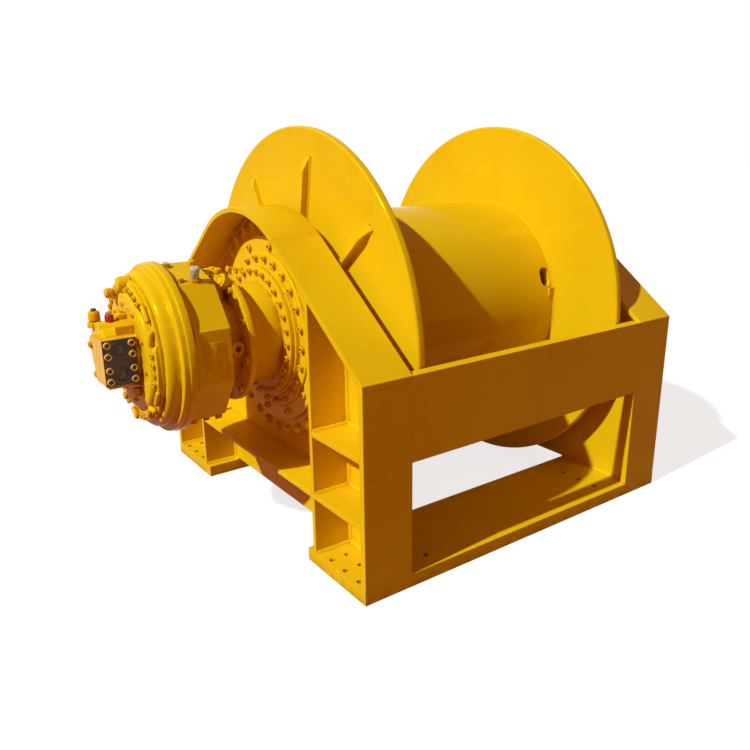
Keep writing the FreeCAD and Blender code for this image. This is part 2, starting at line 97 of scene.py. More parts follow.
@dataclass
class NodeBoard:
    """A node tree with short ways to add to it."""

    tree: bpy.types.NodeTree

    @classmethod
    def blank(cls, owner: bpy.types.Material | bpy.types.World) -> "NodeBoard":
        """Start an empty node tree.

        Args:
            owner: Material or world that holds the tree.

        Returns:
            The board of that tree.
        """
        owner.use_nodes = True
        owner.node_tree.nodes.clear()
        return cls(owner.node_tree)

    def feed(self, value: Value, target: Socket) -> None:
        """Give an input its value.

        Args:
            value: A socket to link, a number, or a colour without its alpha.
            target: The input.
        """
        if isinstance(value, bpy.types.NodeSocket):
            self.tree.links.new(value, target)
        elif target.type == "RGBA":
            target.default_value = (*value, 1.0)
        else:
            target.default_value = value

    def node(
        self, kind: str, inputs: dict[str | int, Value] | None = None, **settings: object,
    ) -> bpy.types.Node:
        """Add a node.

        Args:
            kind: Node type, such as ShaderNodeMix.
            inputs: Values of its inputs, by name or number.
            **settings: Attributes to set on it.

        Returns:
            The new node.
        """
        made = self.tree.nodes.new(kind)
        for key, setting in settings.items():
            setattr(made, key, setting)
        for key, value in (inputs or {}).items():
            self.feed(value, made.inputs[key])
        return made

    def own(self) -> Socket:
        """Give the piece's own coordinates."""
        return self.node("ShaderNodeTexCoord").outputs["Object"]

    def place(self, scale: Point = (1.0, 1.0, 1.0)) -> Socket:
        """Give the piece's own coordinates, scaled along X, Y and Z."""
        return self.node("ShaderNodeMapping", {"Vector": self.own(), "Scale": scale}).outputs["Vector"]

    def axis(self, vector: Socket, name: str) -> Socket:
        """Give a vector's X, Y or Z."""
        return self.node("ShaderNodeSeparateXYZ", {"Vector": vector}).outputs[name]

    def facing(self) -> Socket:
        """Give the surface's own direction."""
        return self.node("ShaderNodeNewGeometry").outputs["Normal"]

    def noise(self, where: Socket, scale: float, detail: float = 3.0, rough: float = 0.55) -> Socket:
        """Add noise of a scale, with finer layers and their weight, and give its value from 0 to 1."""
        inputs = {"Vector": where, "Scale": scale, "Detail": detail, "Roughness": rough}
        return self.node("ShaderNodeTexNoise", inputs).outputs["Fac"]

    def spread(
        self, value: Socket, low: float, high: float, out_low: float = 0.0, out_high: float = 1.0,
    ) -> Socket:
        """Stretch a value from low and high to out_low and out_high, with soft ends."""
        inputs = {"Value": value, "From Min": low, "From Max": high, "To Min": out_low, "To Max": out_high}
        return self.node("ShaderNodeMapRange", inputs, interpolation_type="SMOOTHSTEP").outputs["Result"]

    def math(self, operation: str, first: Socket, second: Socket | float) -> Socket:
        """Combine two values by an operation, and keep the result between 0 and 1."""
        made = self.node("ShaderNodeMath", {0: first, 1: second}, operation=operation, use_clamp=True)
        return made.outputs[0]

    def product(self, first: Socket, *others: Socket | float) -> Socket:
        """Multiply values.

        Args:
            first: First value.
            *others: The other values, sockets or numbers.

        Returns:
            The product, kept between 0 and 1.
        """
        for other in others:
            first = self.math("MULTIPLY", first, other)
        return first

    def blend(self, factor: Socket, under: Socket | Colour, over: Socket | Colour) -> Socket:
        """Blend two colours.

        Args:
            factor: Share of the upper colour.
            under: Lower colour.
            over: Upper colour.

        Returns:
            The blended colour.
        """
        made = self.node("ShaderNodeMix", {"Factor": factor}, data_type="RGBA", blend_type="MIX")
        for name, colour in (("A", under), ("B", over)):
            self.feed(colour, next(s for s in made.inputs if s.name == name and s.type == "RGBA"))
        return next(s for s in made.outputs if s.type == "RGBA")

    def bump(self, height: Socket, strength: float, distance: float, under: Socket | None = None) -> Socket:
        """Turn a height pattern into a surface direction.

        Args:
            height: Height pattern.
            strength: Strength from 0 to 1.
            distance: Height of the pattern in metres.
            under: Direction to build on.

        Returns:
            The direction.
        """
        inputs = {"Height": height, "Strength": strength, "Distance": distance}
        if under is not None:
            inputs["Normal"] = under
        return self.node("ShaderNodeBump", inputs).outputs["Normal"]

    def mix(self, share: Socket | float, first: Socket, second: Socket) -> Socket:
        """Mix two shaders; the share is that of the second one."""
        return self.node("ShaderNodeMixShader", {"Fac": share, 1: first, 2: second}).outputs["Shader"]

    def surface(self, colour: Socket, rough: Socket, normal: Socket, **constant: float | Colour) -> None:
        """Add the main shader and the output.

        Args:
            colour: Colour.
            rough: Roughness.
            normal: Surface direction.
            **constant: Inputs that are the same all over, with underscores for spaces.
        """
        inputs = {name.replace("_", " "): value for name, value in constant.items()}
        inputs.update({"Base Color": colour, "Roughness": rough, "Normal": normal})
        shader = self.node("ShaderNodeBsdfPrincipled", inputs)
        self.node("ShaderNodeOutputMaterial", {"Surface": shader.outputs["BSDF"]})


# ------------------------------------------------------------------ finishes

@dataclass(frozen=True)
class Finish:
    """What every finish shares: a name and a way to make its material."""

    name: str

    def material(self) -> bpy.types.Material:
        """Build the material, or give the one already built.

        Returns:
            The finish's material.
        """
        known = bpy.data.materials.get(self.name)
        if known is not None:
            return known
        made = bpy.data.materials.new(self.name)
        self.build(NodeBoard.blank(made))
        return made

    def build(self, board: NodeBoard) -> None:
        """Fill the node tree."""
        raise NotImplementedError


@dataclass(frozen=True)
class GlossPaint(Finish):
    """Sprayed gloss paint over steel: runs, painted corner shade, edges paler from wear and painted
    highlight, and small chips.
    """

    colour: Colour = (0.845, 0.560, 0.006)
    warm: Colour = (0.82, 0.475, 0.004)
    corner_shade_colour: Colour = (0.32, 0.095, 0.008)
    steel: Colour = (0.10, 0.055, 0.03)
    rust: Colour = (0.36, 0.115, 0.012)
    gloss_tint: Colour = (1.0, 0.64, 0.14)
    roughness: float = 0.2
    peel: float = 0.10
    grain: float = 0.0
    corner_shade: float = 0.35
    chips: float = 0.25
    edge_wear_and_highlight: float = 0.45
    bottom_darkening: float = 0.0
    sheen: float = 0.015
    mirror: float = 0.018
    edge_radius: float = 0.0020
    corner_reach: float = 0.045
    bottom_height: float = 0.052

    def build(self, board: NodeBoard) -> None:
        """Fill the node tree.

        Args:
            board: Empty node tree of the material.
        """
        plain = board.place()
        mottle = board.noise(plain, 26.0, 5.0, 0.62)
        runs = board.noise(board.place((1.0, 1.0, 0.12)), 34.0, 4.0, 0.6)
        pale = (self.colour[0] * 1.05, self.colour[1] * 1.10, self.colour[2] * 3.0)
        cloud = board.spread(board.noise(plain, 2.6, 4.0, 0.6), 0.42, 0.72, 0.0, 0.55)
        colour = board.blend(cloud, self.colour, self.warm)
        colour = board.blend(board.spread(runs, 0.56, 0.74, 0.0, 0.30), colour, self.warm)
        colour = board.blend(board.spread(mottle, 0.55, 0.75, 0.0, 0.35), colour, pale)
        # Painted shade: hollows and inside corners, found by ambient occlusion, are darkened towards an
        # orange-brown and made rougher.
        corners = board.node("ShaderNodeAmbientOcclusion", {"Distance": self.corner_reach}, samples=8)
        closed = board.spread(corners.outputs["AO"], 0.25, 0.85, 1.0, 0.0)
        corner_shade = board.product(closed, board.spread(mottle, 0.35, 0.62), self.corner_shade)
        colour = board.blend(corner_shade, colour, self.corner_shade_colour)

        rounded = board.node("ShaderNodeBevel", {"Radius": self.edge_radius}, samples=6).outputs["Normal"]
        agree = board.node("ShaderNodeVectorMath", {0: rounded, 1: board.facing()}, operation="DOT_PRODUCT")
        edge = board.spread(agree.outputs["Value"], 0.86, 0.985, 1.0, 0.0)
        # Painted highlight, partly wear: rounded edges are blended in patches towards the paler yellow.
        rubbed_and_lit = board.spread(board.noise(plain, 60.0, 5.0), 0.42, 0.62)
        colour = board.blend(board.product(edge, rubbed_and_lit, self.edge_wear_and_highlight), colour, pale)
        flecks = board.spread(board.noise(plain, 210.0, 4.0, 0.7), 0.665, 0.70)
        chipped = board.product(edge, flecks, self.chips)
        colour = board.blend(chipped, colour, self.steel)

        rough = board.spread(mottle, 0.3, 0.75, self.roughness * 0.75, self.roughness * 1.5)
        rough = board.math("ADD", rough, board.product(board.math("MAXIMUM", corner_shade, chipped), 0.4))
        # Darker towards the bottom: the lowest few centimetres are blended in patches towards a dark
        # orange-brown and made rougher.
        if self.bottom_darkening > 0.0:
            low = board.spread(board.axis(board.own(), "Z"), 0.004, self.bottom_height, 1.0, 0.0)
            bottom_band = board.product(low, board.spread(mottle, 0.36, 0.60), self.bottom_darkening)
            colour = board.blend(bottom_band, colour, self.rust)
            rough = board.math("ADD", rough, board.product(bottom_band, 0.35))
        board.surface(
            colour, rough, self._relief(board, plain, runs, chipped, rounded), Specular_IOR_Level=self.sheen,
            Specular_Tint=self.gloss_tint, Metallic=self.mirror)

    def _relief(
        self, board: NodeBoard, plain: Socket, runs: Socket, chipped: Socket, rounded: Socket,
    ) -> Socket:
        """Add the coat's waves, runs, grain and chips to the rounded edges.

        Args:
            board: Node tree of the material.
            plain: The piece's own coordinates.
            runs: Pattern of the runs.
            chipped: Pattern of the chips.
            rounded: Surface direction with rounded edges.

        Returns:
            The surface direction.
        """
        normal = board.bump(board.noise(plain, 95.0, 2.0, 0.4), self.peel, 0.0006, rounded)
        normal = board.bump(runs, self.peel * 0.6, 0.0010, normal)
        if self.grain > 0.0:
            normal = board.bump(board.noise(plain, 420.0, 4.0, 0.65), self.grain, 0.0005, normal)
            normal = board.bump(board.noise(plain, 46.0, 3.0, 0.5), self.grain, 0.0014, normal)
        return board.bump(chipped, 0.35, -0.0004, normal)


@dataclass(frozen=True)
class PortSteel(Finish):
    """A paint-covered block whose front face was masked, so it shows dark oiled steel."""

    face_y: float = -0.1
    mask_start: float = 0.0012
    mask_end: float = 0.0030
    mask_wobble: float = 0.004
    gloss: float = 0.4
    paint: Colour = (0.80, 0.45, 0.006)
    oil: Colour = (0.030, 0.013, 0.006)
    rust: Colour = (0.13, 0.052, 0.012)
    bloom: Colour = (0.30, 0.16, 0.03)

    def build(self, board: NodeBoard) -> None:
        """Fill the node tree.

        Args:
            board: Empty node tree of the material.
        """
        own = board.own()
        fine = board.noise(own, 130.0, 5.0, 0.65)
        broad = board.noise(own, 34.0, 4.0, 0.6)
        steel = board.blend(board.spread(broad, 0.38, 0.62), self.oil, self.rust)
        steel = board.blend(board.spread(fine, 0.60, 0.72, 0.0, 0.5), steel, self.bloom)
        wobble = board.node(
            "ShaderNodeMath", {0: fine, 1: self.mask_wobble, 2: -self.mask_wobble / 2.0},
            operation="MULTIPLY_ADD")
        inputs = {0: board.axis(own, "Y"), 1: wobble.outputs[0]}
        depth = board.node("ShaderNodeMath", inputs, operation="ADD").outputs[0]
        painted = board.spread(depth, self.face_y + self.mask_start, self.face_y + self.mask_end)
        front = board.spread(board.axis(board.facing(), "Y"), -0.9, -0.6)
        colour = board.blend(board.product(painted, front), steel, self.paint)
        rough = board.spread(broad, 0.3, 0.7, 0.28, 0.55)
        board.surface(colour, rough, board.bump(fine, 0.25, 0.0006), Specular_IOR_Level=self.gloss)


@dataclass(frozen=True)
class TurnedSteel(Finish):
    """Bare steel with fine lathe marks round the drum axis."""

    colour: Colour = (0.46, 0.45, 0.43)
    oil: Colour = (0.16, 0.13, 0.10)

    def build(self, board: NodeBoard) -> None:
        """Fill the node tree.

        Args:
            board: Empty node tree of the material.
        """
        lines = board.noise(board.place((60.0, 1.0, 1.0)), 30.0, 3.0)
        film = board.spread(board.noise(board.place(), 18.0, 4.0), 0.45, 0.7, 0.0, 0.7)
        rough = board.spread(lines, 0.3, 0.7, 0.24, 0.42)
        colour = board.blend(film, self.colour, self.oil)
        board.surface(colour, rough, board.bump(lines, 0.2, 0.0003), Metallic=1.0)


@dataclass(frozen=True)
class MouldedPlastic(Finish):
    """Moulded plastic, cloudy and slightly uneven."""

    colour: Colour = (0.6, 0.03, 0.02)
    shade: Colour = (0.38, 0.015, 0.012)
    roughness: float = 0.35
    clear: float = 0.0
    glow: float = 0.08
    glow_depth: float = 0.004

    def build(self, board: NodeBoard) -> None:
        """Fill the node tree.

        Args:
            board: Empty node tree of the material.
        """
        plain = board.place()
        cloud = board.spread(board.noise(plain, 55.0, 4.0, 0.6), 0.35, 0.7)
        dust = board.noise(plain, 240.0, 4.0, 0.65)
        rough = board.spread(dust, 0.3, 0.7, self.roughness * 0.8, self.roughness * 1.35)
        board.surface(
            board.blend(cloud, self.colour, self.shade), rough, board.bump(dust, 0.12, 0.0003),
            Transmission_Weight=self.clear, Subsurface_Weight=self.glow, Subsurface_Scale=self.glow_depth)


@dataclass(frozen=True)
class DarkBore(Finish):
    """Oily dark steel inside a hole."""

    colour: Colour = (0.035, 0.018, 0.008)
    rust: Colour = (0.11, 0.05, 0.012)

    def build(self, board: NodeBoard) -> None:
        """Fill the node tree.

        Args:
            board: Empty node tree of the material.
        """
        film = board.noise(board.place(), 70.0, 4.0, 0.6)
        colour = board.blend(board.spread(film, 0.42, 0.68), self.colour, self.rust)
        board.surface(colour, board.spread(film, 0.3, 0.7, 0.3, 0.6), board.bump(film, 0.2, 0.0005))


PLATE_PAINT = GlossPaint("plate_paint", roughness=0.19, peel=0.10, corner_shade=0.40, chips=0.22)
FOOT_PAINT = GlossPaint(
    "foot_paint", roughness=0.26, peel=0.12, corner_shade=0.45, chips=0.35, bottom_darkening=0.22)
DRUM_PAINT = GlossPaint("drum_paint", roughness=0.14, peel=0.04, corner_shade=0.30, chips=0.18)
CAST_PAINT = GlossPaint(
    "casting_paint", roughness=0.23, peel=0.12, grain=0.22, corner_shade=0.55, chips=0.15, mirror=0.024)
MOTOR_PAINT = GlossPaint(
    "motor_paint", roughness=0.17, peel=0.10, grain=0.08, corner_shade=0.60, chips=0.12, mirror=0.030)
WELD_PAINT = GlossPaint("weld_paint", roughness=0.24, peel=0.25, grain=0.35, corner_shade=0.35, chips=0.05)
SCREW_PAINT = GlossPaint("screw_paint", roughness=0.25, peel=0.12, grain=0.10, corner_shade=0.85, chips=0.35)
FITTING_PAINT = GlossPaint(
    "fitting_paint", colour=(0.84, 0.47, 0.008), warm=(0.74, 0.27, 0.006), roughness=0.22, corner_shade=0.7)
# Paler, whiter yellow than the other paint: painted highlight standing in for the light on the port screw
# heads.
LIT_SCREW_PAINT = GlossPaint(
    "port_screw_lit_paint", colour=(0.80, 0.56, 0.16), warm=(0.62, 0.36, 0.06), corner_shade=0.6, chips=0.3)
PORT_STEEL = PortSteel("port_block_finish")
SHAFT_STEEL = TurnedSteel("shaft_finish")
CLEAR_PLASTIC = MouldedPlastic(
    "breather_finish", colour=(0.74, 0.70, 0.68), shade=(0.52, 0.46, 0.42), roughness=0.22, clear=0.35)
BROWN_PLASTIC = MouldedPlastic("bleed_cap_finish", colour=(0.16, 0.035, 0.012), shade=(0.09, 0.018, 0.008))
PINK_PLASTIC = MouldedPlastic("tab_finish", colour=(0.80, 0.36, 0.26), shade=(0.66, 0.22, 0.15))
RED_PLASTIC = MouldedPlastic("red_cap_finish", colour=(0.50, 0.008, 0.010), shade=(0.32, 0.004, 0.006))
# Dark liner for the screw sockets: painted shade of the recesses, over oily bare steel.
SOCKET_SHADE_DARK = DarkBore("socket_shade_finish")
PLUG_STEEL = DarkBore("port_plug_finish", colour=(0.060, 0.034, 0.010), rust=(0.17, 0.095, 0.022))
SEAL_RUBBER = DarkBore("seal_finish", colour=(0.012, 0.007, 0.004), rust=(0.045, 0.018, 0.007))


# ------------------------------------------------------------------ mesh building

def turned_loop(count: int, radius: Callable[[float], float], height: float) -> list[Vector]:
    """Give a closed loop of points round the local Z axis.

    Args:
        count: Number of points.
        radius: Radius as a function of the angle.
        height: Height of the loop.

    Returns:
        The points.
    """
    loop = []
    for index in range(count):
        angle = 2.0 * math.pi * index / count
        reach = radius(angle)
        loop.append(Vector((reach * math.cos(angle), reach * math.sin(angle), height)))
    return loop


def round_edge(radius: float) -> Callable[[float], float]:
    """Give a circle's radius at any angle."""
    return lambda angle: radius


def hexagon_edge(apothem: float) -> Callable[[float], float]:
    """Give a hexagon's radius at each angle, from half its width across flats."""
    step = math.pi / 3.0
    return lambda angle: apothem / math.cos((angle + step / 2.0) % step - step / 2.0)


def ribbed_edge(radius: float, ribs: int = 12, depth: float = 0.0006) -> Callable[[float], float]:
    """Give the radius of a circle with shallow grip ribs at each angle."""
    return lambda angle: radius + depth * math.cos(ribs * angle)


def scaled(outline: Profile, length: float, size: float, foot: float = 0.0) -> Profile:
    """Scale an outline given in shares by a length and a size, and lift it by its foot's height."""
    return tuple((foot + length * height, size * radius) for height, radius in outline)


@dataclass
class Shell:
    """Points and faces gathered for one piece."""

    points: list[Vector] = field(default_factory=list)
    faces: list[tuple[int, ...]] = field(default_factory=list)

    def loft(
        self,
        loops: Sequence[Sequence[Vector]],
        place: Matrix = AS_IT_IS,
        cap_start: bool = True,
        cap_end: bool = True,
    ) -> None:
        """Skin a row of closed loops that have equal numbers of points.

        Args:
            loops: Loops from start to end.
            place: Where the loops go.
            cap_start: Whether the first loop is filled.
            cap_end: Whether the last loop is filled.
        """
        count = len(loops[0])
        first = len(self.points)
        for loop in loops:
            self.points.extend(place @ point for point in loop)
        for row in range(len(loops) - 1):
            low = first + row * count
            high = low + count
            for index in range(count):
                after = (index + 1) % count
                self.faces.append((low + index, low + after, high + after, high + index))
        if cap_start:
            self.faces.append(tuple(reversed(range(first, first + count))))
        if cap_end:
            last = first + (len(loops) - 1) * count
            self.faces.append(tuple(range(last, last + count)))

    def turned(self, profile: Profile, place: Matrix, count: int = 32) -> None:
        """Add a solid turned round the local Z axis, from pairs of height and radius."""
        self.loft([turned_loop(count, round_edge(radius), height) for height, radius in profile], place)

    def ring_of_turn(self, profile: Profile, place: Matrix, count: int) -> None:
        """Add a hollow ring turned round the local Z axis.

        Args:
            profile: Pairs of height and radius round the ring's closed outline.
            place: Where it goes.
            count: Number of points round it.
        """
        loops = []
        for index in range(count + 1):
            angle = 2.0 * math.pi * index / count
            side = Vector((math.cos(angle), math.sin(angle), 0.0))
            loops.append([side * radius + Vector((0.0, 0.0, height)) for height, radius in profile])
        self.loft(loops, place, False, False)

    def block(self, size: Vector, place: Matrix, soft: float) -> None:
        """Add a box with chamfered upright and top edges, standing on its local origin.

        Args:
            size: Length, width and height.
            place: Where it goes.
            soft: Size of the chamfers.
        """
        loops = []
        for inset, height in ((0.0, 0.0), (0.0, size.z - soft), (soft, size.z)):
            half_x = size.x / 2.0 - inset
            half_y = size.y / 2.0 - inset
            corners = (
                (half_x, -half_y + soft), (half_x, half_y - soft),
                (half_x - soft, half_y), (-half_x + soft, half_y),
                (-half_x, half_y - soft), (-half_x, -half_y + soft),
                (-half_x + soft, -half_y), (half_x - soft, -half_y),
            )
            loops.append([Vector((x, y, height)) for x, y in corners])
        self.loft(loops, place)

    def make(self, name: str, smooth: float = 38.0) -> bpy.types.Object:
        """Turn what was gathered into an object.

        Args:
            name: Name of the piece.
            smooth: Largest angle in degrees that is shaded as one curve.

        Returns:
            The new object.
        """
        mesh = bpy.data.meshes.new(name)
        mesh.from_pydata([tuple(point) for point in self.points], [], self.faces)
        mesh.validate()
        mesh.shade_smooth()
        mesh.set_sharp_from_angle(angle=math.radians(smooth))
        made = bpy.data.objects.new(name, mesh)
        bpy.context.scene.collection.objects.link(made)
        return made


def dress(piece: bpy.types.Object, body: Body, finish: Finish, slot: Slot = Slot.PAINT) -> bpy.types.Object:
    """Give a piece its finish and its body.

    Args:
        piece: Piece to dress.
        body: Body that it rides on.
        finish: Its finish.
        slot: Not used.

    Returns:
        The same piece.
    """
    piece.data.materials.clear()
    piece.data.materials.append(finish.material())
    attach(piece, body.value)
    triangles = sum(len(face.vertices) - 2 for face in piece.data.polygons)
    LOG.info("piece %-28s %-6s %7d triangles", piece.name, body.value, triangles)
    return piece


def stand(point: Vector, direction: Vector, turn: float = 0.0) -> Matrix:
    """Give the place of a thing that stands at a point along a direction, turned about it in radians."""
    facing = direction.to_track_quat("Z", "Y").to_matrix().to_4x4()
    return Matrix.Translation(point) @ facing @ Matrix.Rotation(turn, 4, "Z")


# ------------------------------------------------------------------ places

def points_of(node: str) -> list[Vector]:
    """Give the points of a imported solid."""
    return [vertex.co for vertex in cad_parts[node].data.vertices]


def outward_at(angle: float) -> Vector:
    """Give the direction away from the drum axis at an angle in degrees."""
    turn = math.radians(angle)
    return Vector((0.0, math.cos(turn), math.sin(turn)))


@dataclass
class Placement:
    """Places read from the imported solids, in metres."""

    axis_z: float = 0.0

    def __post_init__(self) -> None:
        """Read the height of the drum axis from the barrel."""
        low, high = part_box("drum_barrel")
        self.axis_z = (low.z + high.z) / 2.0

    @staticmethod
    def low(node: str) -> Vector:
        """Give a node's lowest corner."""
        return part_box(node)[0]

    @staticmethod
    def high(node: str) -> Vector:
        """Give a node's highest corner."""
        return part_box(node)[1]

    def on_axis(self, x: float) -> Vector:
        """Give a point of the drum axis."""
        return Vector((x, 0.0, self.axis_z))

    def polar(self, x: float, radius: float, angle: float) -> Vector:
        """Give the point at a place along X, a radius, and an angle in degrees from +Y towards +Z."""
        turn = math.radians(angle)
        return Vector((x, radius * math.cos(turn), self.axis_z + radius * math.sin(turn)))

    def reach(self, point: Vector) -> float:
        """Give a point's distance from the drum axis."""
        return math.hypot(point.y, point.z - self.axis_z)

    def reaches(self, node: str) -> list[float]:
        """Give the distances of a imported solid's points from the drum axis."""
        return [self.reach(point) for point in points_of(node)]


# ------------------------------------------------------------------ fasteners

@dataclass(frozen=True)
class Screw:
    """One size of screw, seen from its seat outwards."""

    head_radius: float
    head_height: float
    head: Head = Head.SOCKET
    washer: float = 0.0
    points: int = 24
    sunk: float = 0.0006
    washer_share: float = 1.22
    socket_share: float = 0.52

    def add(self, shell: Shell, place: Matrix) -> None:
        """Add the screw's head to a shell.

        Args:
            shell: Shell that gathers the piece.
            place: Seat of the head, with local Z outwards.
        """
        if self.washer > 0.0:
            rim = self.head_radius * self.washer_share
            outline = ((-self.sunk, rim), (self.washer * 0.8, rim), (self.washer, rim * 0.96))
            shell.turned(outline, place, self.points)
        rows = self._socket_head() if self.head is Head.SOCKET else self._hexagon_head()
        shell.loft([turned_loop(self.points, edge, height) for edge, height in rows], place)

    def put(self, shell: Shell, seat: Vector, out: Vector, jitter: random.Random) -> None:
        """Add the screw on a seat that looks outwards, with its head turned by chance."""
        self.add(shell, stand(seat, out, jitter.uniform(0.0, math.tau)))

    def _socket_head(self) -> list[tuple[Callable[[float], float], float]]:
        """Outline a round head with a hexagon socket.

        Returns:
            The edge and the height of each loop.
        """
        radius = self.head_radius
        top = self.washer + self.head_height
        soft = radius * 0.12
        socket = radius * self.socket_share
        return [
            (round_edge(radius), self.washer - self.sunk),
            (round_edge(radius), top - soft),
            (round_edge(radius - soft), top),
            (round_edge(socket * 1.24), top),
            (hexagon_edge(socket), top - soft * 0.7),
            (hexagon_edge(socket), top - self.head_height * 0.62),
        ]

    def _hexagon_head(self) -> list[tuple[Callable[[float], float], float]]:
        """Outline a hexagon head with a chamfered top.

        Returns:
            The edge and the height of each loop.
        """
        flat = self.head_radius * 0.9
        top = self.washer + self.head_height
        return [
            (hexagon_edge(flat), self.washer - self.sunk),
            (hexagon_edge(flat), top - self.head_height * 0.22),
            (round_edge(flat * 0.96), top),
            (round_edge(flat * 0.55), top + self.head_height * 0.03),
        ]


@dataclass(frozen=True)
class ScrewCircle:
    """Screws in a circle about the drum axis."""

    screw: Screw
    radius: float
    count: int
    first: float = 0.0

    def seats(self, places: Placement, x: float) -> list[Vector]:
        """Give the screws' seats on a flat face at a place along X."""
        angles = (self.first + index * 360.0 / self.count for index in range(self.count))
        return [places.polar(x, self.radius, angle) for angle in angles]

    def add(self, shell: Shell, places: Placement, x: float, out: Vector, jitter: random.Random) -> None:
        """Add all the screws on a flat face at a place along X, which looks in the direction out."""
        for seat in self.seats(places, x):
            self.screw.put(shell, seat, out, jitter)


# ------------------------------------------------------------------ weld beads

@dataclass(frozen=True)
class WeldSeam:
    """A path with the directions of the two faces that the bead joins at each point."""

    path: Sequence[Vector]
    sides: Sequence[Sides]
    leg: float
    sunk: float = 0.0008
    bulge: float = 0.16

    @classmethod
    def straight(cls, start: Vector, end: Vector, first: Vector, second: Vector, leg: float) -> "WeldSeam":
        """Make a straight seam.

        Args:
            start: First end of the corner line.
            end: Other end of the corner line.
            first: Direction away from the corner along one face.
            second: Direction away from the corner along the other face.
            leg: Width of the bead on each face.

        Returns:
            The seam.
        """
        steps = max(2, int((end - start).length / STRAIGHT_STEP))
        path = [start.lerp(end, index / steps) for index in range(steps + 1)]
        return cls(path, [(first.normalized(), second.normalized())] * len(path), leg)

    @classmethod
    def round(
        cls, centre: Vector, radius: float, span: tuple[float, float], along: float, outward: float,
        leg: float,
    ) -> "WeldSeam":
        """Make a seam that runs round the drum axis.

        Args:
            centre: Point of the drum axis in the corner's plane.
            radius: Radius of the corner.
            span: First and last angle in degrees, from +Y towards +Z.
            along: Direction along X of the round face, 1 or -1.
            outward: 1 where the flat face is outside the round one, -1 inside.
            leg: Width of the bead on each face.

        Returns:
            The seam.
        """
        arc = math.radians(span[1] - span[0])
        steps = max(8, int(abs(arc) * radius / ROUND_STEP))
        path, sides = [], []
        for index in range(steps + 1):
            angle = math.radians(span[0]) + arc * index / steps
            reach = Vector((0.0, math.cos(angle), math.sin(angle)))
            path.append(centre + reach * radius)
            sides.append((Vector((along, 0.0, 0.0)), reach * outward))
        return cls(path, sides, leg)

    def add(self, shell: Shell, jitter: random.Random) -> None:
        """Add the bead to a shell.

        Args:
            shell: Shell that gathers the piece.
            jitter: Source of the ripple.
        """
        loops = []
        for index, (point, (first, second)) in enumerate(zip(self.path, self.sides)):
            ripple = 0.06 * math.sin(index * 2.1) + jitter.uniform(-0.05, 0.05)
            leg = self.leg * (1.0 + ripple)
            loop = [point - first * self.sunk - second * self.sunk]
            for share in (0.0, 0.3, 0.5, 0.7, 1.0):
                bulge = self.bulge * math.sin(math.pi * share)
                a = (1.0 - share) + bulge * 0.7
                b = share + bulge * 0.7
                low = -self.sunk if share in (0.0, 1.0) else 0.0
                offset = first * (a * leg if share < 1.0 else low)
                offset = offset + second * (b * leg if share > 0.0 else low)
                loop.append(point + offset)
            loops.append(loop)
        shell.loft(loops)


@dataclass(frozen=True)
class GroundBead:
    """A bead ground nearly flush with the face that it lies in."""

    half_width: float
    crown: float
    shoulder: float = 0.0002
    rim_drop: float = 0.0013
    foot_drop: float = 0.0027

    def add(self, shell: Shell, start: Vector, end: Vector, out: Vector, jitter: random.Random) -> None:
        """Add the bead between two points on a face.

        Args:
            shell: Shell that gathers the piece.
            start: First end.
            end: Other end.
            out: Direction out of the face.
            jitter: Source of the ripple.
        """
        across = (end - start).normalized().cross(out)
        steps = max(2, int((end - start).length / GROUND_STEP))
        drops = ((-1.0, self.foot_drop), (-0.9, self.rim_drop), (-0.5, self.shoulder), (0.0, 0.0),
                 (0.5, self.shoulder), (0.9, self.rim_drop), (1.0, self.foot_drop))
        loops = []
        for index in range(steps + 1):
            wide = self.half_width * (1.0 + jitter.uniform(-0.12, 0.12))
            high = self.crown - self.shoulder * jitter.random()
            centre = start.lerp(end, index / steps)
            loops.append([centre + across * (wide * share) + out * (high - drop) for share, drop in drops])
        shell.loft(loops)


# ------------------------------------------------------------------ sub-assemblies

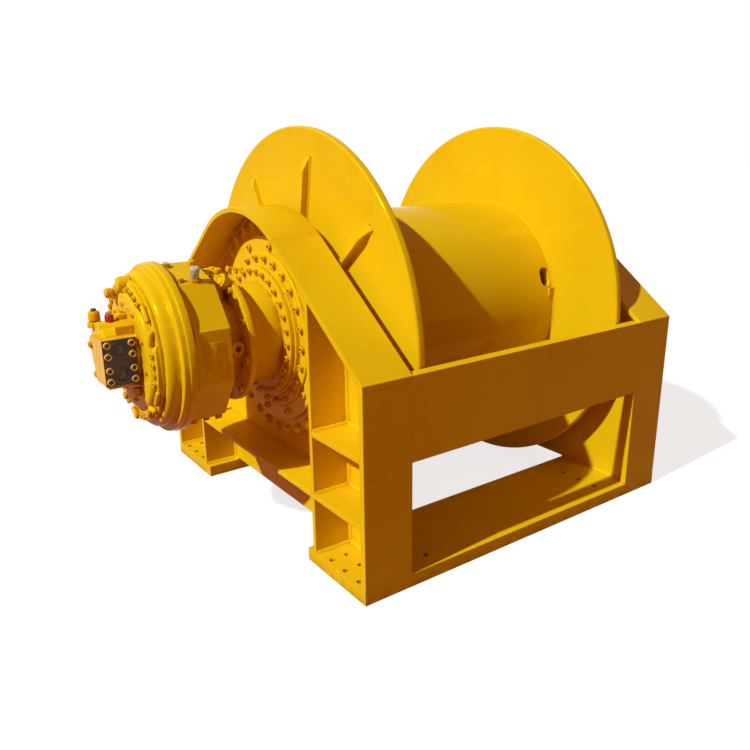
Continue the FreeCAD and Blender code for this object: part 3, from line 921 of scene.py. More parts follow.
@dataclass
class Plates:
    """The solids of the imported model: their finishes and their softened edges."""

    plate_edge: float = 0.0014
    casting_edge: float = 0.0016
    weld_distance: float = 0.00002
    flat_angle: float = 0.4
    sharp_angle: float = 42.0
    pierced: tuple[str, ...] = ("drum_barrel", "front_base_plate", "rear_base_plate", "motor_port_block")

    def soften(self, node: bpy.types.Object, width: float) -> None:
        """Round a solid's sharp edges with modifiers.

        Args:
            node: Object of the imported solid.
            width: Width of the rounding.
        """
        joined = node.modifiers.new("joined", "WELD")
        joined.merge_threshold = self.weld_distance
        flat = node.modifiers.new("flat", "DECIMATE")
        flat.decimate_type = "DISSOLVE"
        flat.angle_limit = math.radians(self.flat_angle)
        rounded = node.modifiers.new("rounded", "BEVEL")
        rounded.width = width
        rounded.segments = 2
        rounded.limit_method = "ANGLE"
        rounded.angle_limit = math.radians(self.sharp_angle)
        rounded.use_clamp_overlap = True
        rounded.harden_normals = True

    def finish_of(self, name: str) -> tuple[Finish, Slot]:
        """Choose a solid's finish.

        Args:
            name: Name of the node.

        Returns:
            The finish and its slot.
        """
        special: dict[str, tuple[Finish, Slot]] = {
            "motor_port_block": (PORT_STEEL, Slot.PORT),
            "drum_stub_shaft": (SHAFT_STEEL, Slot.SHAFT),
            "motor_breather_cap": (CLEAR_PLASTIC, Slot.BREATHER),
            "motor_plug": (RED_PLASTIC, Slot.PLUG),
            "gearbox_brake_housing": (CAST_PAINT, Slot.PAINT),
        }
        if name in special:
            return special[name]
        if name.startswith("drum_"):
            return DRUM_PAINT, Slot.PAINT
        if self._is_cast(name):
            return MOTOR_PAINT, Slot.PAINT
        if name.endswith("base_plate"):
            return FOOT_PAINT, Slot.PAINT
        return PLATE_PAINT, Slot.PAINT

    @staticmethod
    def _is_cast(name: str) -> bool:
        """Tell whether a node is a casting."""
        return name.startswith(("motor_", "gearbox_", "bearing_"))

    def build(self) -> None:
        """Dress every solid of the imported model."""
        for name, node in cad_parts.items():
            finish, slot = self.finish_of(name)
            node.data.materials.clear()
            node.data.materials.append(finish.material())
            if name not in self.pierced:
                self.soften(node, self.casting_edge if self._is_cast(name) else self.plate_edge)
            LOG.info("solid %-28s %s", name, finish.name)


@dataclass
class GearboxScrews:
    """Screw rings on the gearbox and the bearing."""

    places: Placement
    ring: ScrewCircle = ScrewCircle(Screw(0.0135, 0.012, Head.HEXAGON, 0.003), 0.333, 30, 4.6)
    disc: ScrewCircle = ScrewCircle(Screw(0.0105, 0.010), 0.270, 12, 8.0)
    gear: ScrewCircle = ScrewCircle(Screw(0.0095, 0.0125), 0.231, 24, 4.0)
    cover: ScrewCircle = ScrewCircle(Screw(0.0085, 0.0115), 0.192, 28, 2.0)
    adapter: ScrewCircle = ScrewCircle(Screw(0.0105, 0.012), 0.183, 10, 11.0)
    bearing: ScrewCircle = ScrewCircle(Screw(0.0125, 0.011, Head.HEXAGON, 0.003), 0.164, 8, 22.5)
    bearing_cap: ScrewCircle = ScrewCircle(Screw(0.0075, 0.007, Head.HEXAGON, 0.0018), 0.103, 6, 30.0)
    gear_step_radius: float = 0.2131
    seed: int = 7
    same_radius: float = 0.0008
    bearing_rim: float = 0.002

    def build(self) -> None:
        """Build one piece for each ring of screws."""
        jitter = random.Random(self.seed)
        low = self.places.low
        high = self.places.high
        gear_face = high("gearbox_cover_flange").x + self._gear_step()
        rings = (
            ("mounting_ring_screws", self.ring, low("gearbox_mounting_ring").x, TO_DRIVE),
            ("mounting_flange_screws", self.disc, low("gearbox_mounting_flange").x, TO_DRIVE),
            ("ring_gear_screws", self.gear, gear_face, TO_DRIVE),
            ("cover_flange_screws", self.cover, low("gearbox_cover_flange").x, TO_DRIVE),
            ("adapter_flange_screws", self.adapter, low("gearbox_adapter_flange").x, TO_DRIVE),
            ("bearing_flange_screws", self.bearing, self._bearing_face(), FROM_DRIVE),
            ("bearing_cap_screws", self.bearing_cap, high("bearing_cap").x, FROM_DRIVE),
        )
        for name, circle, x, out in rings:
            shell = Shell()
            circle.add(shell, self.places, x, out, jitter)
            dress(shell.make(name), Body.FRAME, SCREW_PAINT)

    def _gear_step(self) -> float:
        """Measure the length along X of the ring gear housing's narrow step.

        Returns:
            The length.
        """
        found = []
        for point in points_of("gearbox_ring_gear_housing"):
            if abs(self.places.reach(point) - self.gear_step_radius) < self.same_radius:
                found.append(point.x)
        return max(found) - min(found)

    def _bearing_face(self) -> float:
        """Give the place of the bearing flange's outer face along X."""
        rim = self.places.high("bearing_housing").z - self.bearing_rim
        return max(point.x for point in points_of("bearing_housing") if point.z > rim)


@dataclass
class MotorCover:
    """The raised face, pads, bars, screws and plugs on the motor's front cover."""

    places: Placement
    seed: int = 19
    clusters: int = 5
    first_angle: float = 95.0
    plateau_radius: float = 0.174
    plateau_height: float = 0.017
    plateau_bore: float = 0.088
    pad_height: float = 0.010
    pad_inner: float = 0.170
    pad_outer: float = 0.2045
    pad_soft: float = 0.004
    pad_steps: int = 18
    pad_screw_radius: float = 0.188
    pad_screw_angles: tuple[float, ...] = (4.0, 12.5, 21.0, 29.5)
    boss_outline: Profile = (
        (0.0, 0.0225), (0.028, 0.0205), (0.034, 0.018), (0.036, 0.012), (0.036, 0.004))
    bar_outline: Profile = ((0.0, 0.4), (0.35, 0.85), (1.0, 1.0))
    plug_outline: Profile = (
        (0.0, 1.15), (0.42, 1.1), (0.46, 0.78), (0.56, 0.78), (0.60, 1.0), (0.93, 1.0), (1.0, 0.8),
        (1.0, 0.35))
    pad_span: tuple[float, float] = (-3.0, 33.0)
    bars: tuple[tuple[float, ...], ...] = (
        (0.204, -15.0, 0.174, -4.5, 0.0085), (0.203, 34.0, 0.200, 50.0, 0.0075))
    plug_spots: tuple[tuple[float, ...], ...] = (
        (68.0, 0.178, 0.050, 0.0145), (268.0, 0.190, 0.026, 0.012), (236.0, 0.190, 0.022, 0.012),
        (302.0, 0.186, 0.022, 0.012), (14.0, 0.184, 0.024, 0.012))
    screw: Screw = Screw(0.0092, 0.009)
    end_screws: ScrewCircle = ScrewCircle(Screw(0.0095, 0.010), 0.074, 5, 18.0)
    end_room: float = 0.012
    rim_screws: ScrewCircle = ScrewCircle(Screw(0.0065, 0.006), 0.140, 10, 12.0)
    face: float = field(init=False)

    def __post_init__(self) -> None:
        """Read the place of the cover's outer face along X."""
        self.face = self.places.low("motor_front_cover").x

    def build(self) -> None:
        """Build the cover's pieces."""
        jitter = random.Random(self.seed)
        self._plateau()
        self._pads()
        self._screws(jitter)
        self._side_plugs()
        self._distributor_screws(jitter)

    def cluster_angles(self) -> list[float]:
        """Give the angle of each cluster in degrees."""
        return [self.first_angle + index * 360.0 / self.clusters for index in range(self.clusters)]

    def _plateau(self) -> None:
        """Build the raised ring round the distributor."""
        rise = self.plateau_height
        reach = self.plateau_radius
        shell = Shell()
        shell.ring_of_turn(
            ((-0.001, self.plateau_bore), (-0.001, reach + 0.003), (rise * 0.45, reach),
             (rise * 0.75, reach - 0.003), (rise * 0.93, reach - 0.008), (rise, reach - 0.014), (rise, 0.124),
             (rise * 0.86, 0.119), (rise * 0.86, self.plateau_bore)),
            stand(self.places.on_axis(self.face), TO_DRIVE), 96)
        dress(shell.make("motor_cover_face", 30.0), Body.FRAME, CAST_PAINT)

    def _pads(self) -> None:
        """Build the raised pads round the rim, the bars between them and the boss at the top."""
        shell = Shell()
        for angle in self.cluster_angles():
            first, last = self.pad_span
            self._pad(shell, angle + first, angle + last)
            for start, start_angle, end, end_angle, size in self.bars:
                self._bar(shell, (start, angle + start_angle), (end, angle + end_angle), size)
        boss = stand(self.places.polar(self.face + 0.010, 0.197, 84.0), TO_DRIVE)
        shell.turned(self.boss_outline, boss, 36)
        dress(shell.make("motor_cover_pads", 45.0), Body.FRAME, CAST_PAINT)

    def _pad(self, shell: Shell, first: float, last: float) -> None:
        """Add one raised pad that follows the cover's rim.

        Args:
            shell: Shell that gathers the piece.
            first: Angle of one end in degrees.
            last: Angle of the other end in degrees.
        """
        inner, outer, soft = self.pad_inner, self.pad_outer, self.pad_soft
        foot = self.face + 0.002
        loops = []
        for index in range(self.pad_steps + 1):
            share = index / self.pad_steps
            angle = first + (last - first) * share
            edge = min(1.0, 8.0 * min(share, 1.0 - share) + 0.35)
            top = self.face - self.pad_height * edge
            outline = ((foot, inner), (top + 0.003, inner), (top, inner + soft),
                       (top, outer - soft), (top + 0.003, outer), (foot, outer))
            loops.append([self.places.polar(x, radius, angle) for x, radius in outline])
        shell.loft(loops)

    def _bar(self, shell: Shell, start: tuple[float, float], end: tuple[float, float], size: float) -> None:
        """Add one raised bar between two places on the cover's face.

        Args:
            shell: Shell that gathers the piece.
            start: Radius and angle of its first end.
            end: Radius and angle of its other end.
            size: Half of its width.
        """
        x = self.face - self.pad_height * 0.7
        first = self.places.polar(x, *start)
        last = self.places.polar(x, *end)
        length = (last - first).length
        near = scaled(self.bar_outline, size, size)
        far = tuple((length - height, radius) for height, radius in reversed(near))
        shell.turned((*near, *far), stand(first, (last - first).normalized()), 20)

    def _screws(self, jitter: random.Random) -> None:
        """Build the screws on the pads and on the raised ring.

        Args:
            jitter: Source of the heads' turns.
        """
        shell = Shell()
        x = self.face - self.pad_height + 0.0004
        for angle in self.cluster_angles():
            for offset in self.pad_screw_angles:
                seat = self.places.polar(x, self.pad_screw_radius, angle + offset)
                self.screw.put(shell, seat, TO_DRIVE, jitter)
        self.rim_screws.add(shell, self.places, self.face - self.plateau_height, TO_DRIVE, jitter)
        dress(shell.make("motor_cover_screws"), Body.FRAME, SCREW_PAINT)

    def _side_plugs(self) -> None:
        """Build the round pressure plugs that stand out of the cover."""
        shell = Shell()
        for angle, radius, length, size in self.plug_spots:
            place = stand(self.places.polar(self.face + 0.002, radius, angle), TO_DRIVE)
            shell.turned(scaled(self.plug_outline, length, size), place, 28)
        dress(shell.make("motor_pressure_plugs"), Body.FRAME, FITTING_PAINT)

    def _distributor_screws(self, jitter: random.Random) -> None:
        """Build the screws on the distributor's end, where the port block leaves room.

        Args:
            jitter: Source of the heads' turns.
        """
        end = self.places.low("motor_distributor").x
        _, block_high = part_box("motor_port_block")
        room = block_high.y + self.end_room
        shell = Shell()
        for seat in self.end_screws.seats(self.places, end):
            if seat.y > room:
                self.end_screws.screw.put(shell, seat, TO_DRIVE, jitter)
        dress(shell.make("distributor_screws"), Body.FRAME, SCREW_PAINT)


@dataclass
class MotorBlock:
    """Cap screws on the cylinder block, its breather, and the fittings round the motor."""

    places: Placement
    seed: int = 31
    sides: int = 10
    caps: int = 5
    first_cap: float = 106.0
    cap_screw: Screw = Screw(0.0105, 0.010, Head.HEXAGON, 0.002)
    cap_size: tuple[float, float] = (0.084, 0.062)
    cap_height: float = 0.0045
    panel_height: float = 0.0018
    screw_x: float = 0.038
    screw_y: float = 0.052
    breather_length: float = 0.042
    breather_outline: Profile = (
        (0.009, 0.0112), (0.012, 0.0125), (0.030, 0.0125), (0.035, 0.0132), (0.0395, 0.0132), (0.042, 0.0108),
        (0.042, 0.004))
    boss_outline: Profile = ((0.0, 0.030), (0.040, 0.027), (0.052, 0.024), (0.056, 0.018), (0.056, 0.006))
    brake_cover_outline: Profile = (
        (-0.020, 0.020), (0.000, 0.023), (0.004, 0.024), (0.007, 0.0225), (0.007, 0.017), (0.004, 0.0155),
        (0.004, 0.013), (0.008, 0.0115), (0.010, 0.008), (0.010, 0.002))
    fitting_outline: Profile = (
        (0.0, 1.2), (0.35, 0.8), (0.55, 0.8), (0.6, 1.0), (0.95, 1.0), (1.0, 0.75), (1.0, 0.3))
    fitting_stem: float = 0.030
    adapter_outline: Profile = (
        (0.014, 0.0135), (0.018, 0.0135), (0.020, 0.0165), (0.040, 0.0165), (0.044, 0.0145), (0.046, 0.0110),
        (0.046, 0.004))
    bleed_outline: Profile = ((0.045, 0.0080), (0.050, 0.0080), (0.053, 0.0066), (0.054, 0.0025))
    drain_outline: Profile = ((0.0, 0.013), (0.012, 0.013), (0.014, 0.010), (0.022, 0.010), (0.024, 0.006))
    pipe_radius: float = 0.0042
    pipe_lift: float = 0.012

    def build(self) -> None:
        """Build the block's pieces."""
        self._cap_screws(random.Random(self.seed))
        self._breather()
        self._neck_fittings()
        self._top_fittings()
        self._red_cap()

    def _flat_radius(self) -> float:
        """Give the distance from the drum axis to the block's flats."""
        return max(self.places.reaches("motor_cylinder_block")) * math.cos(math.pi / self.sides)

    def _cap_screws(self, jitter: random.Random) -> None:
        """Build the raised cylinder caps on every second flat, with their screws.

        The flat at the top has no cap and one screw less, for the breather. The next one has a
        thin blank panel without screws.

        Args:
            jitter: Source of the heads' turns.
        """
        flat = self._flat_radius()
        low = self.places.low("motor_cylinder_block").x
        high = self.places.high("motor_cylinder_block").x
        middle = self.places.on_axis((low + high) / 2.0)
        caps, screws = Shell(), Shell()
        for index in range(self.caps):
            out = outward_at(self.first_cap + index * 360.0 / self.caps)
            along = FROM_DRIVE.cross(out)
            base = middle + out * flat
            if index > 0:
                height = self.panel_height if index == 1 else self.cap_height
                place = stand(base - out * 0.001, out, math.pi / 2.0)
                caps.block(Vector((*self.cap_size, height)), place, height * 0.6)
            for step_x in (-self.screw_x, self.screw_x):
                for step_y in (-self.screw_y, self.screw_y):
                    if index == 1 or (index == 0 and step_y > 0.0 and step_x > 0.0):
                        continue
                    seat = base + Vector((step_x, 0.0, 0.0)) + along * step_y
                    self.cap_screw.put(screws, seat, out, jitter)
        dress(caps.make("cylinder_caps", 50.0), Body.FRAME, MOTOR_PAINT)
        dress(screws.make("cylinder_cap_screws"), Body.FRAME, SCREW_PAINT)

    def _breather(self) -> None:
        """Build the cloudy breather in place of its plain solid."""
        low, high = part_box("motor_breather_cap")
        out = outward_at(self.first_cap)
        foot = (low + high) / 2.0 - out * (self.breather_length / 2.0)
        shell = Shell()
        shell.turned(self.breather_outline, stand(foot, out), 32)
        cap = shell.make("breather_cap", 50.0)
        dress(cap, Body.FRAME, CLEAR_PLASTIC, Slot.BREATHER)
        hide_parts("motor_breather_cap")
        nut = Shell()
        Screw(0.0165, 0.010, Head.HEXAGON).add(nut, stand(foot, out, 0.2))
        dress(nut.make("breather_nut"), Body.FRAME, FITTING_PAINT)

    def _neck_fittings(self) -> None:
        """Build the brake port's boss, its round cover, the fittings over the neck and their pipe."""
        block = self.places.high("motor_cylinder_block").x
        flange = self.places.low("gearbox_adapter_flange").x
        radius = self.places.high("motor_neck").z - self.places.axis_z
        shell = Shell()
        boss = stand(self.places.polar(block + 0.038, radius - 0.010, 106.0), outward_at(106.0))
        shell.turned(self.boss_outline, boss, 36)
        cover = stand(self.places.polar(block + 0.050, 0.198, 111.0), Vector((-0.86, -0.18, 0.48)))
        shell.turned(self.brake_cover_outline, cover, 40)
        for x, reach, angle, size, height in (
                (block + 0.012, 0.196, 88.0, 0.0115, 0.022), (block + 0.052, 0.190, 92.0, 0.0110, 0.030),
                (flange - 0.014, 0.190, 99.0, 0.0110, 0.032)):
            place = stand(self.places.polar(x, reach - self.fitting_stem, angle), outward_at(angle))
            outline = scaled(self.fitting_outline, height, size, self.fitting_stem)
            shell.turned(((0.0, size * 1.3), *outline), place, 24)
        dress(shell.make("brake_port_fittings", 45.0), Body.FRAME, MOTOR_PAINT)
        pipe = Shell()
        start = self.places.polar(block + 0.014, 0.205, 88.0)
        end = self.places.polar(flange - 0.014, 0.204, 99.0)
        self._pipe(pipe, start, end)
        dress(pipe.make("brake_pipe"), Body.FRAME, MOTOR_PAINT)

    def _pipe(self, shell: Shell, start: Vector, end: Vector) -> None:
        """Add a short bent pipe between two fittings.

        Args:
            shell: Shell that gathers the piece.
            start: Middle of the first fitting.
            end: Middle of the last fitting.
        """
        loops = []
        steps = 18
        forward = (end - start).normalized()
        side = forward.cross(UP).normalized()
        rise = side.cross(forward)
        for index in range(steps + 1):
            share = index / steps
            centre = start.lerp(end, share) + UP * self.pipe_lift * math.sin(math.pi * share)
            loops.append([
                centre + (side * math.cos(turn) + rise * math.sin(turn)) * self.pipe_radius
                for turn in (math.tau * k / 12 for k in range(12))])
        shell.loft(loops)

    def _top_fittings(self) -> None:
        """Build the hexagon adapter, its bleed cap, the relief block and the drain fitting."""
        low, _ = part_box("motor_distributor")
        cap_low, cap_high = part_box("motor_plug")
        shell = Shell()
        adapter = Vector((cap_low.x - 0.016, cap_high.y + 0.022, cap_low.z - 0.016))
        Screw(0.020, 0.016, Head.HEXAGON).add(shell, stand(adapter, UP, 0.35))
        shell.turned(self.adapter_outline, stand(adapter, UP), 32)
        knob = Shell()
        knob.turned(self.bleed_outline, stand(adapter, UP), 24)
        dress(knob.make("bleed_cap", 45.0), Body.FRAME, BROWN_PLASTIC)
        relief = Vector((cap_high.x + 0.019, cap_high.y - 0.004, cap_low.z - 0.010))
        shell.block(Vector((0.026, 0.032, 0.030)), stand(relief, UP, 0.12), 0.003)
        Screw(0.009, 0.008).add(shell, stand(relief + UP * 0.029, UP))
        drain = Vector((low.x + 0.074, -0.070, self.places.axis_z - 0.088))
        shell.turned(self.drain_outline, stand(drain, -UP), 24)
        dress(shell.make("distributor_fittings", 45.0), Body.FRAME, FITTING_PAINT)

    def _red_cap(self) -> None:
        """Build the ribbed red cap in place of its plain solid."""
        low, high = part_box("motor_plug")
        centre = (low + high) / 2.0
        foot = Vector((centre.x, centre.y, low.z + 0.001))
        shell = Shell()
        rows = (
            (round_edge(0.0145), 0.0), (round_edge(0.0145), 0.003), (ribbed_edge(0.0125), 0.0042),
            (ribbed_edge(0.0122), 0.018), (round_edge(0.0108), 0.0205), (round_edge(0.0075), 0.0205),
            (round_edge(0.0070), 0.014),
        )
        shell.loft([turned_loop(72, edge, height) for edge, height in rows], stand(foot, UP))
        cap = shell.make("red_port_cap", 45.0)
        dress(cap, Body.FRAME, RED_PLASTIC, Slot.PLUG)
        tab = Shell()
        place = stand(foot + Vector((-0.003, -0.004, 0.014)), Vector((-0.25, -0.10, 1.0)), 0.5)
        tab.block(Vector((0.011, 0.0045, 0.016)), place, 0.0012)
        dress(tab.make("red_port_cap_tab", 45.0), Body.FRAME, PINK_PLASTIC, Slot.PLUG)
        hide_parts("motor_plug")


@dataclass
class PortFace:
    """Screws, blank plugs and seal rings on the two hydraulic ports."""

    seed: int = 43
    spacing: float = 0.071
    long_pitch: float = 0.0667
    short_pitch: float = 0.0318
    port_radius: float = 0.016
    plug_depth: float = 0.0045
    plug_outline: Profile = ((-0.006, 0.96), (0.0, 0.96), (0.0016, 0.86), (0.0016, 0.5), (0.0004, 0.42))
    seal_outline: Profile = (
        (-0.0006, 1.08), (-0.0006, 1.42), (0.0009, 1.40), (0.0016, 1.30), (0.0016, 1.18), (0.0009, 1.10))
    screw: Screw = Screw(0.0098, 0.007)

    def build(self) -> None:
        """Build the port face's pieces."""
        low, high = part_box("motor_port_block")
        centre = (low + high) / 2.0
        jitter = random.Random(self.seed)
        screws, socket_shade, plugs, seals = Shell(), Shell(), Shell(), Shell()
        for side in HALVES:
            middle = Vector((centre.x, low.y, centre.z + side * self.spacing))
            for along in HALVES:
                for up in HALVES:
                    seat = middle + Vector((along * self.long_pitch, 0.0, up * self.short_pitch))
                    place = stand(seat, TO_FRONT, jitter.uniform(0.0, math.tau))
                    self.screw.add(screws, place)
                    self._socket(socket_shade, place)
            inside = middle + Vector((0.0, self.plug_depth, 0.0))
            plugs.turned(scaled(self.plug_outline, 1.0, self.port_radius), stand(inside, TO_FRONT), 40)
            seals.ring_of_turn(scaled(self.seal_outline, 1.0, self.port_radius), stand(middle, TO_FRONT), 56)
        dress(screws.make("port_screws"), Body.FRAME, LIT_SCREW_PAINT)
        # The socket liners paint the shade inside the screw sockets.
        dress(socket_shade.make("port_screw_socket_shade"), Body.FRAME, SOCKET_SHADE_DARK, Slot.PORT)
        dress(plugs.make("port_plugs", 45.0), Body.FRAME, PLUG_STEEL, Slot.PORT)
        dress(seals.make("port_seal_rings", 45.0), Body.FRAME, SEAL_RUBBER, Slot.PORT)

    def _socket(self, shell: Shell, place: Matrix) -> None:
        """Add a dark liner inside a screw's socket, which paints the shade of the recess over bare steel.

        Args:
            shell: Shell that gathers the piece.
            place: Seat of the screw's head.
        """
        across = self.screw.head_radius * self.screw.socket_share
        top = self.screw.head_height
        rows = ((across - 0.0002, top - 0.0008), (across - 0.0005, top * 0.45))
        loops = [turned_loop(24, hexagon_edge(half), height) for half, height in rows]
        shell.loft(loops, place, False, True)


@dataclass
class SideFrameWelds:
    """Weld beads of one side frame; side is -1 on the drive side and 1 on the other."""

    places: Placement
    side: float
    leg: float = 0.008
    column_thickness: float = 0.020
    foot_depth: float = 0.300
    stiffener_thickness: float = 0.015
    shelf_thickness: float = 0.015
    margin: float = 0.003
    arch_bead: GroundBead = GroundBead(0.0045, 0.0004)
    arch_margin: float = 0.001
    name: str = field(init=False)
    seed: int = field(init=False)
    outward: Vector = field(init=False)
    web: float = field(init=False)
    edge: float = field(init=False)
    faces: tuple[tuple[float, Vector], ...] = field(init=False)
    column: float = field(init=False)
    floor: float = field(init=False)
    arch_under: float = field(init=False)
    slope_foot: float = field(init=False)
    slope_low: float = field(init=False)
    slope_angle: float = field(init=False)

    def __post_init__(self) -> None:
        """Read this side's faces, edges and heights from its solids."""
        drive = self.side < 0.0
        self.name = "left" if drive else "right"
        self.seed = 61 if drive else 67
        self.outward = Vector((self.side, 0.0, 0.0))
        web_low, web_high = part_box(self.name + "_web_plate")
        column_low, column_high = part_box(self.name + "_column_plates")
        self.web = web_low.x if drive else web_high.x
        inner_web = web_high.x if drive else web_low.x
        self.edge = column_low.x if drive else column_high.x
        self.faces = ((self.web, self.outward), (inner_web, -self.outward))
        self.column = column_high.y - self.column_thickness
        self.floor = self.places.high("front_base_plate").z
        arch = self.places.reaches(self.name + "_arch_plate")
        self.arch_under = min(arch)
        self._read_slope(max(arch))

    def _read_slope(self, arch: float) -> None:
        """Read the slope's angle and the lower end of its underside.

        Args:
            arch: Radius of the curved plate's top, which the slope's top meets.
        """
        points = points_of(self.name + "_slope_plates")
        self.slope_foot = max(abs(point.y) for point in points)
        ends = [point.z for point in points if abs(abs(point.y) - self.slope_foot) < 0.001]
        self.slope_low = min(ends)
        rise = max(ends) - self.places.axis_z
        drop = math.atan2(rise, self.slope_foot)
        self.slope_angle = math.asin(arch / math.hypot(self.slope_foot, rise)) - drop

    def build(self) -> None:
        """Build the beads of this side."""
        shell = Shell()
        jitter = random.Random(self.seed)
        for seams in (self._column_seams(), self._shelf_seams(), self._arch_seams()):
            for seam in seams:
                seam.add(shell, jitter)
        self._arch_ends(shell, jitter)
        dress(shell.make(self.name + "_frame_welds", 60.0), Body.FRAME, WELD_PAINT)

    def _bead(self, start: Point, end: Point, first: Vector, second: Vector) -> WeldSeam:
        """Make a straight seam of this side's usual width."""
        return WeldSeam.straight(Vector(start), Vector(end), first, second, self.leg)

    def _slope_under(self, y: float) -> float:
        """Give the height of the slope's underside at a distance from the middle."""
        return self.slope_low + (self.slope_foot - y) * math.tan(self.slope_angle)

    def _column_seams(self) -> Iterator[WeldSeam]:
        """List the seams round the columns and under the slopes.

        Returns:
            The seams, front before rear.
        """
        floor = self.floor
        plate_end = abs(self.places.low("front_base_plate").y) - self.foot_depth
        for front in BOTH_WAYS:
            inward = Vector((0.0, -front, 0.0))
            column = front * self.column
            top = self._slope_under(abs(column))
            for x, away in self.faces:
                yield self._bead((x, column, floor), (x, front * plate_end, floor), away, UP)
            for x, away in self.faces:
                yield self._bead((x, column, floor), (x, column, top), away, inward)
            yield self._bead((self.web, column, floor), (self.edge, column, floor), inward, UP)
            end_y = front * self.arch_under * math.sin(self.slope_angle)
            end_z = self.places.axis_z + self.arch_under * math.cos(self.slope_angle)
            down = Vector((0.0, -front * math.sin(self.slope_angle), -math.cos(self.slope_angle)))
            for x, away in self.faces:
                yield self._bead((x, column, top), (x, end_y, end_z), away, down)

    def _shelf_seams(self) -> Iterator[WeldSeam]:
        """List the seams round the shelves and stiffeners.

        Returns:
            The seams, front before rear.
        """
        web, floor, thickness = self.web, self.floor, self.shelf_thickness
        tip = self.edge - self.side * self.margin
        stiff_low, stiff_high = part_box(self.name + "_stiffeners")
        middle = (stiff_high.y - stiff_low.y) / 2.0
        levels = sorted({round(point.z, 4) for point in points_of(self.name + "_shelves")})
        lower = levels[1]
        _, shelf_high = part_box(self.name + "_shelves")
        for front, tops in ((-1.0, (lower, shelf_high.z)), (1.0, (lower,))):
            inward = Vector((0.0, -front, 0.0))
            near, far = front * middle, front * (middle - self.stiffener_thickness)
            column = front * self.column
            for top in tops:
                under = top - thickness
                yield self._bead((web, near, top), (web, column, top), self.outward, UP)
                yield self._bead((web, column, top), (tip, column, top), inward, UP)
                yield self._bead((web, near, top), (tip, near, top), -inward, UP)
                yield self._bead((web, near, under), (web, column, under), self.outward, -UP)
            height = self._slope_under(middle) if front < 0.0 else lower - thickness
            for y, away in ((near, -inward), (far, inward)):
                yield self._bead((web, y, floor), (web, y, height), self.outward, away)
                yield self._bead((web, y, floor), (tip, y, floor), away, UP)

    def _arch_seams(self) -> Iterator[WeldSeam]:
        """List the seams between the web and the curved plate.

        Returns:
            The seams, outer before inner.
        """
        angle = math.degrees(self.slope_angle)
        for x, away in self.faces:
            centre = self.places.on_axis(x)
            span = (90.0 - angle, 90.0 + angle)
            yield WeldSeam.round(centre, self.arch_under, span, away.x, -1.0, self.leg)

    def _arch_ends(self, shell: Shell, jitter: random.Random) -> None:
        """Add the ground beads where the curved plate meets the sloped plates.

        Args:
            shell: Shell that gathers the piece.
            jitter: Source of the ripple.
        """
        low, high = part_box(self.name + "_arch_plate")
        radius = high.z - self.places.axis_z
        for front in BOTH_WAYS:
            out = Vector((0.0, front * math.sin(self.slope_angle), math.cos(self.slope_angle)))
            middle = self.places.on_axis(0.0) + out * radius
            start = middle + FROM_DRIVE * (low.x + self.arch_margin)
            end = middle + FROM_DRIVE * (high.x - self.arch_margin)
            self.arch_bead.add(shell, start, end, out, jitter)


@dataclass
class CrossWelds:
    """Beads ground flush where the cross beams meet the columns, and along the base plates."""

    places: Placement
    seed: int = 71
    bead: GroundBead = GroundBead(0.0022, -0.0003)
    margin: float = 0.002

    def build(self) -> None:
        """Build the flat beads."""
        shell = Shell()
        jitter = random.Random(self.seed)
        beam_low, beam_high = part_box("front_cross_beam")
        column_low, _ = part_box("left_column_plates")
        floor = self.places.high("front_base_plate").z
        for front in BOTH_WAYS:
            face = front * abs(beam_low.y)
            out = Vector((0.0, front, 0.0))
            for x in (beam_low.x, beam_high.x):
                start = Vector((x, face, beam_low.z + self.margin))
                end = Vector((x, face, beam_high.z - self.margin))
                self.bead.add(shell, start, end, out, jitter)
            for side in BOTH_WAYS:
                start = Vector((side * abs(column_low.x), face, floor))
                end = Vector((side * abs(beam_low.x), face, floor))
                self.bead.add(shell, start, end, out, jitter)
        dress(shell.make("beam_and_column_welds", 60.0), Body.FRAME, WELD_PAINT)


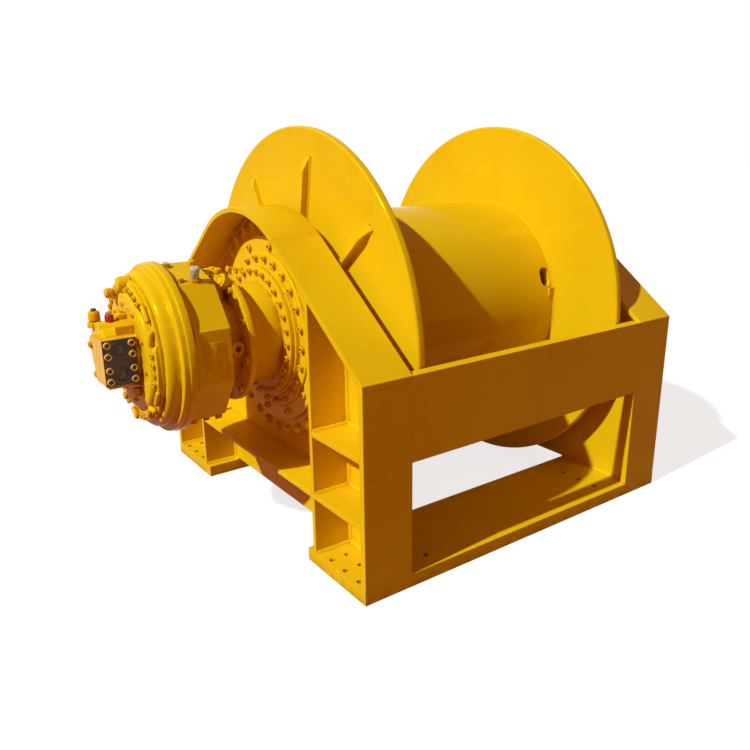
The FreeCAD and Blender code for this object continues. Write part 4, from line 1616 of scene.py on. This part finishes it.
@dataclass
class DrumWelds:
    """Beads on the drum: barrel to flanges, ribs, and hub rings."""

    places: Placement
    leg: float = 0.008
    seed: int = 83
    barrel_leg: float = 0.0045
    rib_leg: float = 0.006
    rib_count: int = 9
    rib_first: float = 20.0
    rib_half: float = 0.008
    tip_margin: float = 0.0002

    def build(self) -> None:
        """Build the beads that turn with the drum."""
        jitter = random.Random(self.seed)
        self._barrel(jitter)
        for name, side in (("left", -1.0), ("right", 1.0)):
            self._flange(name, side, jitter)

    def _barrel(self, jitter: random.Random) -> None:
        """Build the beads between the barrel and the two flanges.

        Args:
            jitter: Source of the ripple.
        """
        low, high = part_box("drum_barrel")
        radius = high.z - self.places.axis_z
        shell = Shell()
        for x, along in ((low.x, 1.0), (high.x, -1.0)):
            centre = self.places.on_axis(x)
            WeldSeam.round(centre, radius, WHOLE_TURN, along, 1.0, self.barrel_leg).add(shell, jitter)
        dress(shell.make("drum_barrel_welds", 60.0), Body.DRUM, WELD_PAINT)

    def _flange(self, name: str, side: float, jitter: random.Random) -> None:
        """Build the beads on one flange's outer face.

        Args:
            name: Side's name as used in the nodes.
            side: -1 on the drive side and 1 on the other.
            jitter: Source of the ripple.
        """
        flange_low, flange_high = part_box("drum_" + name + "_flange")
        face = self.places.on_axis(flange_low.x if side < 0.0 else flange_high.x)
        _, hub_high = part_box("drum_" + name + "_hub_ring")
        hub_radius = hub_high.z - self.places.axis_z
        tip = max(self.places.reaches("drum_" + name + "_flange_ribs")) - self.tip_margin
        outward = Vector((side, 0.0, 0.0))
        shell = Shell()
        WeldSeam.round(face, hub_radius, WHOLE_TURN, side, 1.0, self.leg).add(shell, jitter)
        for index in range(self.rib_count):
            reach = outward_at(self.rib_first + index * 360.0 / self.rib_count)
            across = FROM_DRIVE.cross(reach)
            for hand in BOTH_WAYS:
                root = face + across * (hand * self.rib_half)
                start = root + reach * hub_radius
                end = root + reach * tip
                WeldSeam.straight(start, end, outward, across * hand, self.rib_leg).add(shell, jitter)
        dress(shell.make("drum_" + name + "_rib_welds", 60.0), Body.DRUM, WELD_PAINT)


# ------------------------------------------------------------------ stage

@dataclass(frozen=True)
class Viewpoint:
    """The camera: where it looks from, in degrees and metres."""

    azimuth: float = -35.38
    elevation: float = 17.37
    roll: float = -0.67
    distance: float = 2.674
    aim: Point = (-0.1275, 0.0, 0.3956)
    lens: float = 35.37
    sensor: float = 36.0
    nearest: float = 0.05
    farthest: float = 100.0

    def build(self) -> None:
        """Make the camera and use it."""
        turn = math.radians(self.azimuth)
        lift = math.radians(self.elevation)
        back = Vector((math.sin(turn) * math.cos(lift), -math.cos(turn) * math.cos(lift), math.sin(lift)))
        right = (-back).cross(UP).normalized()
        up = right.cross(-back)
        tip = math.radians(self.roll)
        level = right * math.cos(tip) + up * math.sin(tip)
        plumb = up * math.cos(tip) - right * math.sin(tip)
        data = bpy.data.cameras.new("camera")
        data.lens = self.lens
        data.sensor_width = self.sensor
        data.clip_start = self.nearest
        data.clip_end = self.farthest
        camera = bpy.data.objects.new("camera", data)
        rotation = Matrix((level, plumb, back)).transposed()
        camera.matrix_world = Matrix.Translation(Vector(self.aim) + back * self.distance) @ rotation.to_4x4()
        bpy.context.scene.collection.objects.link(camera)
        bpy.context.scene.camera = camera
        LOG.info("camera at %s", [round(value, 3) for value in camera.matrix_world.translation])


@dataclass(frozen=True)
class Lamp:
    """One distant lamp; its softness is its width in degrees, as seen from the object."""

    name: str
    direction: Point
    strength: float
    softness: float
    colour: Colour
    distance: float = 6.0

    def build(self) -> None:
        """Make the lamp."""
        lamp = bpy.data.lights.new(self.name, "SUN")
        lamp.energy = self.strength
        lamp.angle = math.radians(self.softness)
        lamp.color = self.colour
        placed = bpy.data.objects.new(self.name, lamp)
        placed.rotation_mode = "QUATERNION"
        placed.rotation_quaternion = Vector(self.direction).to_track_quat("Z", "Y")
        placed.location = Vector(self.direction) * self.distance
        bpy.context.scene.collection.objects.link(placed)


@dataclass(frozen=True)
class Studio:
    """Floor, backdrop and lamps."""

    key: Lamp = Lamp("key", (-0.727, -0.045, 0.685), 3.3, 1.1, (0.92, 1.0, 0.93))
    fill: Lamp = Lamp("fill", (-0.93, 0.10, 0.10), 0.45, 100.0, (1.0, 0.26, 0.06))
    ambient: float = 0.22
    ambient_tint: Colour = (1.0, 0.44, 0.26)
    floor_bounce: Colour = (0.27, 0.050, 0.020)
    floor_shown: Colour = (0.84, 0.92, 0.98)
    floor_glow: float = 1.17
    shadow_share: float = 0.33
    floor_size: float = 60.0

    def build(self) -> None:
        """Make the floor, the backdrop and the lamps."""
        self._floor()
        self._world()
        self.key.build()
        self.fill.build()
        bpy.context.scene.view_settings.view_transform = "Standard"

    def _seen(self, board: NodeBoard) -> Socket:
        """Give 1 for rays that show the backdrop and 0 for rays that light the object.

        Args:
            board: Node tree to add to.

        Returns:
            The mask.
        """
        rays = board.node("ShaderNodeLightPath").outputs
        shown = board.math("MAXIMUM", rays["Is Camera Ray"], rays["Is Glossy Ray"])
        return board.math("MAXIMUM", shown, rays["Is Transmission Ray"])

    def _floor(self) -> None:
        """Make the pale floor, which lights the object less than it shows."""
        shell = Shell()
        half = self.floor_size / 2.0
        corners = ((-half, -half), (half, -half), (half, half), (-half, half))
        shell.points = [Vector((x, y, 0.0)) for x, y in corners]
        shell.faces = [(0, 1, 2, 3)]
        floor = shell.make("studio_floor")
        material = bpy.data.materials.new("studio_floor")
        board = NodeBoard.blank(material)
        bounce, shown = (
            board.node("ShaderNodeBsdfDiffuse", {"Color": colour}).outputs["BSDF"]
            for colour in (self.floor_bounce, self.floor_shown))
        glow = board.node("ShaderNodeEmission", {"Strength": self.floor_glow}).outputs["Emission"]
        pale = board.mix(self.shadow_share, glow, shown)
        surface = board.mix(self._seen(board), bounce, pale)
        board.node("ShaderNodeOutputMaterial", {"Surface": surface})
        floor.data.materials.append(material)

    def _world(self) -> None:
        """Make the backdrop: white where it is seen, dim where it lights."""
        world = bpy.data.worlds.new("studio")
        board = NodeBoard.blank(world)
        dim, white = (
            board.node("ShaderNodeBackground", {"Color": colour, "Strength": strength}).outputs["Background"]
            for colour, strength in ((self.ambient_tint, self.ambient), ((1.0, 1.0, 1.0), 1.0)))
        surface = board.mix(self._seen(board), dim, white)
        board.node("ShaderNodeOutputWorld", {"Surface": surface})
        bpy.context.scene.world = world


def main() -> None:
    """Build the winch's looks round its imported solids."""
    logging.basicConfig(level=logging.INFO, format="%(message)s")
    places = Placement()
    Viewpoint().build()
    Studio().build()
    Plates().build()
    GearboxScrews(places).build()
    MotorBlock(places).build()
    MotorCover(places).build()
    PortFace().build()
    for side in BOTH_WAYS:
        SideFrameWelds(places, side).build()
    CrossWelds(places).build()
    DrumWelds(places).build()


if __name__ == "__main__":
    main()
